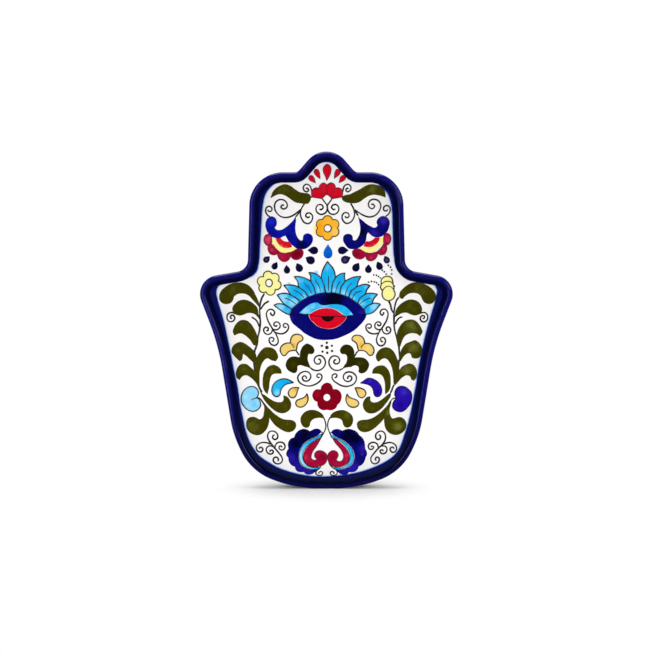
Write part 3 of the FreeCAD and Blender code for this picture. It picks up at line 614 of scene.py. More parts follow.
@dataclass
class Painter:
    """Lays pools and lines on the white floor. Lengths are in metres.

    Picture is the frame of the painted places, floor the depth of the floor's surface in front of
    the wall, and slots names the material slot of each CAD node. Slots is not used. Edges holds the
    brush lines that wait to be drawn round the pools. A pool rises from its lip to its crown within
    crown_reach, and is sunk a little in the floor. Its points lie in rows at the ring_offsets and in
    an even field.
    Row_gap and field_gap are the shares of their spacing that they keep from the border and from the
    last row. A stroke's width pulses, and stub is its share at a tip. A spiral's end winds on where
    it bends tighter than loosest, down to tightest.
    """

    picture: Picture
    floor: float
    slots: dict[str, str]
    edges: dict[tuple[str, float], tuple[Enamel, list[Path]]] = field(default_factory=dict)
    step: float = 0.42 * MM
    grid: float = 0.75 * MM
    crown: float = 0.2 * MM
    crown_reach: float = 1.0 * MM
    lip: float = 0.03 * MM
    sunk: float = 0.1 * MM
    ring_offsets: tuple[float, ...] = (0.14 * MM, 0.36 * MM, 0.66 * MM)
    edge_lift: float = 0.13 * MM
    flatness: float = 0.36
    pulse: float = 0.1
    pulse_length: float = 2.3 * MM
    pulse_shift: float = 1.7
    stub: float = 0.2
    row_gap: float = 0.94
    field_gap: float = 0.55
    loosest: float = 1.35 * MM
    tightest: float = 0.55 * MM
    winding: float = 0.93
    last_turn: float = math.radians(70)

    def fill_points(self, loops: Sequence[np.ndarray], grid: float) -> np.ndarray:
        """Points inside loops: rows beside the border and an even field in the middle."""
        rows = []
        for offset in self.ring_offsets:
            for loop in loops:
                tangent = np.roll(loop, -1, axis=0) - np.roll(loop, 1, axis=0)
                normal = np.column_stack((-tangent[:, 1], tangent[:, 0]))
                normal /= np.maximum(np.linalg.norm(normal, axis=1), TINY)[:, None]
                for side in (-offset, offset):
                    row = loop + normal * side
                    rows.append(row[border_distance(row, loops) > self.row_gap * offset])
        low, high = loops[0].min(axis=0), loops[0].max(axis=0)
        across = np.arange(low[0], high[0], grid)
        up = np.arange(low[1], high[1], grid * math.sqrt(3) / 2)
        middle = np.array([(x + (index % 2) * grid / 2, z) for index, z in enumerate(up) for x in across])
        if len(middle):
            clear = self.ring_offsets[-1] + self.field_gap * grid
            rows.append(middle[border_distance(middle, loops) > clear])
        points = np.vstack(rows)
        return points[inside(points, loops)]

    def plate(self, name: str, loops: Sequence[np.ndarray], height: Callable[[np.ndarray], np.ndarray],
              grid: float, material: bpy.types.Material,
              values: Callable[[np.ndarray, np.ndarray], Reading]) -> bpy.types.Object:
        """A closed thin plate on the floor with a shaped front.

        Args:
            name: The piece's name.
            loops: Its outline and then its holes.
            height: Gives the front's height above the floor from the distances to the border.
            grid: Spacing of the field's points.
            material: Its finish.
            values: Gives what the finish reads, from the points and the distances to the border.

        Returns:
            The piece.
        """
        vertices = np.vstack([*loops, self.fill_points(loops, grid)])
        edges = []
        start = 0
        for loop in loops:
            count = len(loop)
            edges += [(start + index, start + (index + 1) % count) for index in range(count)]
            start += count
        corners = [Vector(vertex) for vertex in vertices.tolist()]
        flat, _, faces, _, _, _ = delaunay_2d_cdt(corners, edges, [], 1, WELD)
        middles = np.array([[sum(flat[index][axis] for index in face) / len(face) for axis in (0, 1)]
                            for face in faces])
        faces = [face for face, kept in zip(faces, inside(middles, loops)) if kept]
        used = sorted({index for face in faces for index in face})
        number = {index: new for new, index in enumerate(used)}
        places = np.array([flat[index] for index in used])
        front = [tuple(number[index] for index in face) for face in faces]
        gap = border_distance(places, loops)
        count = len(places)
        raised = np.column_stack((places[:, 0], -(self.floor + height(gap)), places[:, 1]))
        back = np.column_stack((places[:, 0], np.full(count, -(self.floor - self.sunk)), places[:, 1]))
        directed = dict.fromkeys(pair for face in front for pair in zip(face, face[1:] + face[:1]))
        sides = [(second, first, first + count, second + count) for first, second in directed
                 if (second, first) not in directed]
        rear = [tuple(index + count for index in reversed(face)) for face in front]
        solid = {kind: np.concatenate((numbers, numbers)) for kind, numbers in values(places, gap).items()}
        return finished(name, np.vstack((raised, back)), front + sides + rear, material, solid)

    def tones(self, places: np.ndarray, shades: Sequence[Shade]) -> np.ndarray:
        """Tone at each place, the sum of the soft spots there."""
        tone = np.zeros(len(places))
        for shade in shades:
            middle = self.picture.place([(shade.x, shade.y)])[0]
            far = np.linalg.norm(places - middle, axis=1) / (shade.reach * self.picture.pixel)
            tone += shade.tone * np.exp(-2.0 * far**2)
        return tone

    def pool(self, name: str, outline: Path, enamel: Enamel, node: str, shades: Sequence[Shade] = (),
             holes: Sequence[Path] = (), edge: Enamel | None = None, edge_width: float = 1.3,
             raised: float = 0.0) -> bpy.types.Object:
        """A pool of enamel that stands proud of the floor and rounds down to its edge.

        Args:
            name: The piece's name.
            outline: Its painted outline, in pixels.
            enamel: Its finish.
            node: The CAD node that it stands for.
            shades: Deep and pale spots.
            holes: Outlines left open in it.
            edge: Finish of the brush line round it, where it has one.
            edge_width: Width of that line in pixels.
            raised: Height of the ground that it lies on above the floor, in metres.

        Returns:
            The piece.
        """
        loops = [outline_samples(self.picture, path, self.step) for path in (outline, *holes)]
        loops[0] = spread(loops[0], enamel.spread_mm * MM)
        if edge:
            for path in (outline, *holes):
                self.edges.setdefault((edge.name, edge_width), (edge, []))[1].append(path)

        def height(gap: np.ndarray) -> np.ndarray:
            """Height of the front above the floor, rounded at the edge."""
            inner = 1 - np.clip(gap / self.crown_reach, 0, 1)
            dome = self.lip + self.crown * np.sqrt(1 - inner**2)
            return dome if not raised else raised + dome / 3

        def values(places: np.ndarray, gap: np.ndarray) -> Reading:
            """Distance from the edge in millimetres, and tone."""
            return {Attribute.EDGE: gap / MM, Attribute.TONE: self.tones(places, shades)}

        piece = self.plate(name, loops, height, self.grid, enamel.material(), values)
        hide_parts(node)
        return piece

    def draw_edges(self, name: str) -> None:
        """Draw the brush lines round the pools laid since the last call."""
        for number, ((_, width), (enamel, paths)) in enumerate(self.edges.items()):
            self.lines(f"{name}_{number}", paths, enamel, width, closed=True, lift=self.edge_lift)
        self.edges.clear()

    def lines(self, name: str, strokes: Sequence[Path], enamel: Enamel = LINER, width: float = 1.3,
              closed: bool = False, lift: float = 0.0, taper: float = 1.0) -> bpy.types.Object:
        """Fine brush lines, each a low rounded ridge with round ends.

        Args:
            name: The piece's name.
            strokes: Paths of the brush, in pixels.
            enamel: Its finish.
            width: Width of a line in pixels.
            closed: Whether each stroke runs back to its start.
            lift: Height of the lines' middle above the floor, in metres.
            taper: Width at a stroke's end as a share of that at its start.

        Returns:
            The lines as one piece.
        """
        half = width * self.picture.pixel / 2
        curve = bpy.data.curves.new(name, "CURVE")
        curve.dimensions = "3D"
        curve.bevel_depth = 1.0
        curve.bevel_resolution = 1
        curve.use_fill_caps = True
        for number, stroke in enumerate(strokes):
            if closed:
                samples = outline_samples(self.picture, stroke, self.step)
            else:
                samples = self.open_samples(stroke)
            gaps = np.linalg.norm(np.diff(samples, axis=0), axis=1)
            along = np.concatenate(([0.0], np.cumsum(gaps)))
            share = along / along[-1]
            pressure = 1 + self.pulse * np.sin(along / self.pulse_length + number * self.pulse_shift)
            radii = half * pressure * (1 + (taper - 1) * share)
            if not closed:
                near = np.minimum(along, along[-1] - along)
                radii *= np.sqrt(np.clip(self.stub + near / half, self.stub, 1.0))
            spline = curve.splines.new("POLY")
            spline.points.add(len(samples) - 1)
            flat = np.column_stack((samples, np.zeros(len(samples)), np.ones(len(samples))))
            spline.points.foreach_set("co", flat.ravel())
            spline.points.foreach_set("radius", radii)
            spline.use_cyclic_u = closed
        drawn = bpy.data.objects.new(name, curve)
        bpy.context.collection.objects.link(drawn)
        select_only(drawn)
        bpy.ops.object.convert(target="MESH")
        mesh = bpy.context.object.data
        count = len(mesh.vertices)
        flat = np.empty(count * 3)
        mesh.vertices.foreach_get("co", flat)
        flat = flat.reshape(-1, 3)
        places = np.column_stack((flat[:, 0], -(self.floor + lift + flat[:, 2] * self.flatness), flat[:, 1]))
        faces = [tuple(face.vertices) for face in mesh.polygons]
        bpy.data.objects.remove(bpy.context.object)
        reading = {Attribute.EDGE: np.ones(count), Attribute.TONE: np.zeros(count)}
        return finished(name, places, faces, enamel.material(), reading)

    def open_samples(self, stroke: Path) -> np.ndarray:
        """Samples along an open stroke, with the last turn of each tight spiral end added."""
        samples = smooth_run(self.picture.place(stroke), self.step, closed=False)
        if len(stroke) > 5:
            samples = np.vstack((self.curl(samples[::-1])[::-1], samples, self.curl(samples)))
        return samples

    def curl(self, samples: np.ndarray) -> np.ndarray:
        """The last turn of a spiral, wound on from the end of a stroke where that end is tight.

        Args:
            samples: The stroke's samples, ending at the end to wind on.

        Returns:
            More samples, none where the stroke's end is nearly straight.
        """
        back, middle, end = samples[-7], samples[-4], samples[-1]
        first, second = middle - back, end - middle
        turn = math.atan2(first[0] * second[1] - first[1] * second[0], first @ second)
        reach = (np.linalg.norm(first) + np.linalg.norm(second)) / 2
        if abs(turn) < reach / self.loosest:
            return np.empty((0, 2))
        radius = reach / abs(turn)
        heading = math.atan2(second[1], second[0]) + turn / 2
        added = []
        place = end
        left = self.last_turn
        while left > 0:
            radius = max(radius * self.winding, self.tightest)
            bend = self.step / 2 / radius
            heading += math.copysign(bend, turn)
            left -= bend
            place = place + self.step / 2 * np.array((math.cos(heading), math.sin(heading)))
            added.append(place)
        return np.array(added)

    def dots(self, name: str, dots: Sequence[tuple[float, float, float]], enamel: Enamel = LINER) -> None:
        """Round dots of the brush, each as its place and radius in pixels."""
        radius = sum(dot[2] for dot in dots) / len(dots)
        strokes = [ring_outline((x, y), size / 2, size / 2) for x, y, size in dots]
        self.lines(name, strokes, enamel, width=radius, closed=True)


# Pottery


@dataclass
class HandOutline:
    """Rounded outline of the hand and the lines parallel to it.

    Sizes are in metres. Corners run from the fingertip down the right side: across as shares of the
    width from the centre line, down as shares of the height, and the share of the shorter
    neighbouring side that the rounding takes.
    """

    width: float = 0.1351
    height: float = 0.18
    top: float = 0.028
    step: float = 0.9 * MM
    corners: tuple[tuple[float, float, float], ...] = (
        (0.0, -0.0372, 0.627), (0.1143, 0.0615, 0.0727), (0.3014, 0.0615, 0.69), (0.3113, 0.3507, 0.179),
        (0.5272, 0.3788, 0.417), (0.4272, 0.5742, 0.355), (0.3691, 0.8391, 0.379), (0.2967, 0.9504, 0.55),
        (0.1147, 1.0, 0.45))

    def loop(self, inset: float) -> np.ndarray:
        """Samples round the parallel line at that inset, clockwise from the fingertip.

        Args:
            inset: Distance in from the hand's edge.

        Returns:
            The samples. Every inset gives as many, in the same order.
        """
        right = [(x * self.width, self.top - y * self.height) for x, y, _ in self.corners]
        points = np.array(right + [(-x, z) for x, z in reversed(right[1:])])
        shares = [row[2] for row in self.corners]
        shares += list(reversed(shares[1:]))
        ahead = np.roll(points, -1, axis=0) - points
        length = np.linalg.norm(ahead, axis=1)
        ahead /= length[:, None]
        before = np.roll(ahead, 1, axis=0)
        trim = np.array(shares) * np.minimum(length, np.roll(length, 1))
        crossed = before[:, 0] * ahead[:, 1] - before[:, 1] * ahead[:, 0]
        turn = np.arctan2(crossed, (before * ahead).sum(axis=1))
        across = np.column_stack((before[:, 1], -before[:, 0]))
        moved = points + across * inset + before * (inset * np.tan(turn / 2))[:, None]
        moved_trim = trim + inset * np.tan(turn / 2)
        radius = moved_trim / np.tan(np.abs(turn) / 2)
        samples = []
        for index in range(len(points)):
            start = moved[index] - before[index] * moved_trim[index]
            side = math.copysign(1.0, turn[index])
            normal = side * np.array((-before[index][1], before[index][0]))
            middle = start + normal * radius[index]
            full = trim[index] / math.tan(abs(turn[index]) / 2)
            count = max(4, math.ceil(abs(turn[index]) * full / self.step))
            angles = np.linspace(0, turn[index], count, endpoint=False)
            spoke = start - middle
            samples += [middle + (spoke[0] * math.cos(a) - spoke[1] * math.sin(a),
                                  spoke[0] * math.sin(a) + spoke[1] * math.cos(a)) for a in angles]
            end = moved[index] + ahead[index] * moved_trim[index]
            following = (index + 1) % len(points)
            run = moved[following] - before[following] * moved_trim[following] - end
            steps = max(1, math.ceil((length[index] - trim[index] - trim[following]) / (2 * self.step)))
            samples += [end + run * share / steps for share in range(steps)]
        return np.array(samples)


@dataclass
class Pottery:
    """Rim, floor and back of the dish.

    Lengths are in metres, and a depth counts forward from the wall. The white edge is where the
    rim's cobalt stops on the floor, and the washes are colour that ran from the enamels, both in
    pixels.
    """

    outline: HandOutline
    picture: Picture
    depth: float
    back: float
    floor: float
    flare: float = 4.2 * MM
    lip_band: float = 5.0 * MM
    lip_width: float = 3.6 * MM
    lip_round: float = 1.65 * MM
    lip_steps: int = 8
    shoulder: float = 1.2 * MM
    well_slope: float = 1.3 * MM
    cove: float = 0.6 * MM
    glaze: float = 0.3 * MM
    unevenness: float = 0.16 * MM
    floor_inset: float = 5.3 * MM
    floor_grid: float = 1.3 * MM
    white_edge: tuple[Point, ...] = (
        (327, 162), (334, 164), (340, 169), (346, 175.5), (352, 180.5), (360, 181.5), (368, 180.8),
        (376, 182.5), (382, 188), (387, 193), (390, 200), (392, 212), (392.5, 226), (393, 242), (394, 258),
        (396, 267), (399, 272), (404, 276), (410, 278.7), (418, 279.3), (426, 280.5), (432, 283.5),
        (436, 287.5), (437, 291), (436, 296), (434.5, 303), (431.5, 313), (428, 325), (424.5, 338),
        (421.5, 352), (418.5, 367), (416, 384), (413, 400), (411, 411), (408, 423), (404, 436), (399.5, 448),
        (393, 456.5), (385, 462), (377, 466), (368, 469.5), (358, 472.5), (346, 474.7), (334, 476),
        (322, 476.6), (310, 476), (298, 474), (287, 471), (277, 467.2), (268, 462), (260, 456.5),
        (253.5, 448.5), (248.5, 439), (245, 428), (243, 418), (240.5, 406), (237.8, 388), (234, 370),
        (230.5, 352), (227.5, 338), (223.5, 320), (220, 308), (217.5, 299), (216.5, 291), (218.5, 286),
        (224, 283.5), (232, 280.5), (240, 279.3), (247, 278.4), (252.5, 276), (256.5, 272), (258.8, 264),
        (260, 248), (261, 233), (261.8, 218), (263, 205), (266, 193.5), (271, 187), (278, 182), (287, 180.8),
        (296, 181.3), (302, 180.2), (308, 173), (315, 166), (321, 162.6))
    washes: tuple[Shade, ...] = (
        Shade(316, 228, 4, 1), Shade(315, 233, 3, 0.7), Shade(310, 400, 4, 0.6), Shade(316, 273, 4, -0.9),
        Shade(289, 284, 3, -0.8), Shade(366, 292, 3, -0.4), Shade(266, 272, 3, 0.3))

    def section(self) -> list[tuple[float, float]]:
        """Section of the rim's coat as (inset, depth) pairs, up the outside, over the lip and down
        the well, then back along its hidden side."""
        lean = self.flare / (self.depth - self.lip_band - self.back)
        outside = [(self.flare - share * self.flare, self.back + share * self.flare / lean)
                   for share in (0.0, 0.15, 0.45, 0.75, 0.93, 1.0)]
        outside.append((0.0, self.depth - self.lip_round - self.shoulder))
        turns = [math.pi / 2 * index / self.lip_steps for index in range(self.lip_steps + 1)]
        crest = [(self.lip_round * (1 - math.cos(turn)), self.depth - self.lip_round * (1 - math.sin(turn)))
                 for turn in turns]
        inner_start = self.lip_width - self.lip_round
        crest += [(inner_start + self.lip_round * math.sin(turn),
                   self.depth - self.lip_round * (1 - math.cos(turn))) for turn in turns]
        fall = self.depth - self.lip_round - self.floor
        inner = [(self.lip_width + self.well_slope * share, self.depth - self.lip_round - fall * share)
                 for share in (0.2, 0.4, 0.6, 0.78, 0.9)]
        foot = self.lip_width + self.well_slope
        inner += [(foot + self.cove * 0.35, self.floor + self.cove * 0.25),
                  (foot + self.cove * 1.2, self.floor)]
        hidden = [(foot + self.cove, self.floor - self.glaze), (self.lip_width + 0.5 * MM, self.floor),
                  (self.lip_width - self.glaze, self.depth - self.lip_round - self.glaze),
                  (self.lip_width / 2, self.depth - self.glaze - 0.7 * MM),
                  (self.glaze, self.depth - self.lip_round - self.glaze),
                  (self.glaze, self.depth - self.lip_band), (self.flare + self.glaze, self.back + 0.1 * MM)]
        return outside + crest + inner + hidden

    def rim(self, glaze: RimGlaze) -> None:
        """Cobalt coat of the rim, laid a little unevenly by hand."""
        section = self.section()
        rings = []
        bands = []
        for inset, depth in section:
            loop = self.outline.loop(inset)
            turn = np.linspace(0, 2 * math.pi, len(loop), endpoint=False)
            sway = 0.5 + 0.25 * (np.sin(11 * turn + 1.0) + np.sin(23 * turn + 2.6))
            drop = sway * self.unevenness * (depth > self.floor + 1 * MM)
            rings.append(np.column_stack((loop[:, 0], -(depth - drop), loop[:, 1])))
            bands.append(np.full(len(loop), inset / MM))
        count = len(rings[0])
        faces = []
        for row in range(len(rings)):
            following = (row + 1) % len(rings)
            for index in range(count):
                ahead = (index + 1) % count
                faces.append((row * count + index, row * count + ahead, following * count + ahead,
                              following * count + index))
        reading = {Attribute.BAND: np.concatenate(bands)}
        piece = finished("rim", np.vstack(rings), faces, glaze.material(), reading)
        bpy.ops.object.mode_set(mode="EDIT")
        bpy.ops.mesh.select_all(action="SELECT")
        bpy.ops.mesh.normals_make_consistent(inside=False)
        bpy.ops.object.mode_set(mode="OBJECT")
        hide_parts("rim_glaze")

    def white_floor(self, painter: Painter, glaze: FloorGlaze) -> None:
        """White floor, which carries how far each point is inside the ragged edge of the cobalt."""
        loop = self.outline.loop(self.floor_inset)
        edge = smooth_run(self.picture.place(self.white_edge), 1.0 * MM, closed=True)

        def values(places: np.ndarray, gap: np.ndarray) -> Reading:
            """Signed distance from the white's edge in millimetres, and the colour washes."""
            side = np.where(inside(places, [edge]), 1.0, -1.0)
            margin = border_distance(places, [edge]) * side / MM
            return {Attribute.MARGIN: margin, Attribute.TONE: painter.tones(places, self.washes)}

        piece = painter.plate("white_floor", [loop[::-1]], np.zeros_like, self.floor_grid, glaze.material(),
                              values)
        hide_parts("floor_glaze")

    def dress_back(self, nodes: dict[str, bpy.types.Object]) -> None:
        """Finish the parts that keep their own shape: the back's clear glaze and the bare clay."""
        for name, finish in (("back_glaze", BACK_GLAZE), ("clay_dish", BARE_CLAY), ("foot_ring", BARE_CLAY)):
            nodes[name].material_slots[0].material = finish.material()
            log.info("%s: dressed in %s", name, finish.name)


# The painting. Every place is in pixels of the reference picture.


@dataclass
class Crest:
    """Red flower with five drops at the fingertips, two olive leaves, a gold rosette and scrolls."""

    painter: Painter
    drop_edge: float = 0.9
    flower_edge: float = 1.2
    seam_width: float = 0.8
    seam_lift: float = 0.23 * MM
    scroll_width: float = 1.6

    def drops(self) -> None:
        """Five red drops in a fan at the fingertips."""
        drops = (
            [Corner(326.7, 180.5), (325.6, 176.8), (323.5, 172.2), (323.6, 167.2), (327.2, 164.2),
             (330.7, 167.4), (330.8, 172), (328.8, 176.8)],
            drop_outline((320, 178.8), (316.4, 171.7), 2.5), drop_outline((315.5, 183), (311, 178), 2.4),
            drop_outline((334.2, 178.6), (337.9, 171.8), 2.5), drop_outline((339, 182.8), (343.2, 177.8), 2.4))
        for number, outline in enumerate(drops):
            self.painter.pool(f"crest_drop_{number}", outline, RED, "crest_drops", edge=WINE_LINER,
                              edge_width=self.drop_edge)

    def flower(self) -> None:
        """Red half flower, and the seams between its petals."""
        paint = self.painter
        flower = [Corner(312.2, 196.9), (311.6, 193), (313, 189.6), (316, 188), Corner(318.8, 188.6),
                  (320.2, 185), (323.5, 183), Corner(327, 185.2), (330.6, 183), (334.4, 184.8),
                  Corner(335.5, 188.4), (338.5, 188), (341.6, 189.8), (342.6, 193.2), Corner(341.9, 196.9),
                  (337, 197.7), Corner(332.1, 198.5), (327, 194.5), Corner(321.7, 198.5), (317, 197.8)]
        paint.pool("crest_flower", flower, RED, "crest_flower", [Shade(320, 192, 4, 0.1)], edge=WINE_LINER,
                   edge_width=self.flower_edge)
        seams = [[(318.8, 188.6), (321.2, 192), (323.4, 195.6)], [(327, 185.2), (327.3, 190), (327, 194.2)],
                 [(335.5, 188.4), (333.2, 192), (330.8, 195.6)]]
        paint.lines("crest_flower_seams", seams, WINE_LINER, self.seam_width, lift=self.seam_lift)

    def leaves(self) -> None:
        """The two olive leaves beside the flower."""
        paint = self.painter
        left = [Corner(271.5, 197.3), (272, 194), (276, 188.5), (280, 186), (285, 184.5), (290, 186),
                (295, 189.5), (300, 192.5), (304, 193.2), (308, 193.8), (310.5, 196), (310.2, 200),
                (308, 203.3), (304, 203.6), (300, 203), (296, 202.3), (292, 200), (288, 197), (284, 194.8),
                (280, 194), (276, 195)]
        right = [Corner(385.5, 197.3), (384.5, 191), (381, 187), (376, 185), (370, 184.7), (365, 186.5),
                 (360, 189.5), (355, 192), (350, 194.5), (345, 195.5), (342, 197.2), (342.5, 199.6),
                 (345, 201.6), (350, 202.8), (355, 203), (360, 201.5), (364, 198.5), (369, 195.6),
                 (374, 194.5), (378, 195), (382, 196)]
        paint.pool("top_leaf_left", left, OLIVE, "top_leaves",
                   [Shade(284, 190, 8, -0.35), Shade(302, 199, 7, 0.3)])
        paint.pool("top_leaf_right", right, OLIVE, "top_leaves",
                   [Shade(372, 189, 8, -0.5), Shade(352, 199, 8, 0.3)])

    def rosette(self) -> None:
        """Gold rosette round a white eye, and the blue drop under it."""
        paint = self.painter
        rosette = rosette_outline((327.6, 228), 7.4, 4.9, (30, 90, 150, 210, 270, 330))
        paint.pool("gold_rosette", rosette, ORANGE, "gold_rosette",
                   [Shade(318, 226, 8, 0.8), Shade(320, 235, 6, 0.6), Shade(336, 232, 8, -0.6)],
                   holes=[ring_outline((327.7, 228.4), 3.7, 3.7)], edge=BROWN_LINER,
                   edge_width=self.flower_edge)
        paint.pool("centre_drop", drop_outline((328, 244), (328, 253.9), 4.6), AZURE, "centre_drop",
                   [Shade(328, 256, 4, 0.5)])

    def scrolls(self) -> None:
        """Liner spirals round the flower and under the leaves."""
        self.painter.lines("crest_scrolls", [
            [(307.5, 188.2), (308.6, 190), (307, 191.8), (304.4, 190.8), (303.3, 187.2), (305.8, 184.4),
             (309.6, 185.6), (311.2, 189), (312, 192.5)],
            [(346.8, 188.4), (345.8, 190.2), (347.4, 191.8), (350, 190.6), (350.9, 187), (348.4, 184.4),
             (344.6, 185.8), (343.2, 189.2), (342.4, 192.5)],
            [(322, 198.5), (324.6, 202), (327, 205.6), (327.2, 209.6), (324.8, 213.4), (320.8, 214.4),
             (317, 212.2), (316, 208.2), (318.2, 204.9), (321.6, 204.9), (323.2, 207.4), (321.6, 209.6)],
            [(332.2, 198.5), (329.8, 202), (327.4, 205.6), (327.6, 209.6), (330, 213.4), (334, 214.4),
             (337.8, 212.2), (338.8, 208.2), (336.6, 204.9), (333.2, 204.9), (331.5, 207.4), (333.2, 209.6)],
            [(282.3, 205), (280.9, 207), (283.2, 209), (286.6, 207.6), (287, 203.6), (283.6, 200),
             (278.8, 199.9), (275.2, 203), (274.6, 208), (277.2, 213.6), (282, 217), (287.6, 217.4),
             (293, 215.4), (297.6, 212.2), (301.2, 209)],
            [(373, 204.2), (374.6, 206), (372.8, 208.6), (369.6, 207.6), (368.4, 204.2), (370.4, 200.4),
             (374.6, 199.3), (379, 201.4), (380.8, 205.8), (379, 211.4), (374.8, 215.6), (369.6, 217),
             (364.4, 215.8), (359.4, 213), (354.6, 209.6)],
            [(268.8, 211.4), (271, 211.2), (271.9, 208.6), (269.6, 206.3), (266.6, 207.6), (265.7, 211.4),
             (267.6, 215.2), (271.2, 217.6)],
            [(386.4, 211), (384.2, 210.6), (383.6, 207.8), (386.4, 205.5), (389.4, 206.8), (390.2, 210.4),
             (388.6, 214), (385.4, 216.6)],
            [(308.3, 217.6), (306, 216.8), (306.4, 213.8), (309.4, 213), (312.2, 215.2), (312.2, 219.6),
             (308.8, 223.6), (304.4, 222.6), (301.6, 218.6), (300.4, 213.2), (301.3, 209), (304.5, 203.5)],
            [(346.6, 217.8), (348.9, 216.8), (348.4, 213.6), (345.4, 212.6), (342.4, 215), (342.5, 219.6),
             (346.2, 223.4), (350.6, 222.2), (353.4, 218.6), (354.6, 213.6), (353.7, 209), (350.6, 203.2)],
            [(301.2, 209.4), (298.4, 213.6), (295.5, 217.2)], [(353.9, 209.2), (356.2, 212.6), (358.2, 215.8)],
            [(308.6, 197.8), (310.4, 197.2), (312.6, 197)], [(272, 195.4), (271, 198)]],
            width=self.scroll_width)

    def make(self) -> None:
        """Lay the pools and draw the lines."""
        self.drops()
        self.flower()
        self.leaves()
        self.rosette()
        self.painter.draw_edges("crest_edges")
        self.scrolls()


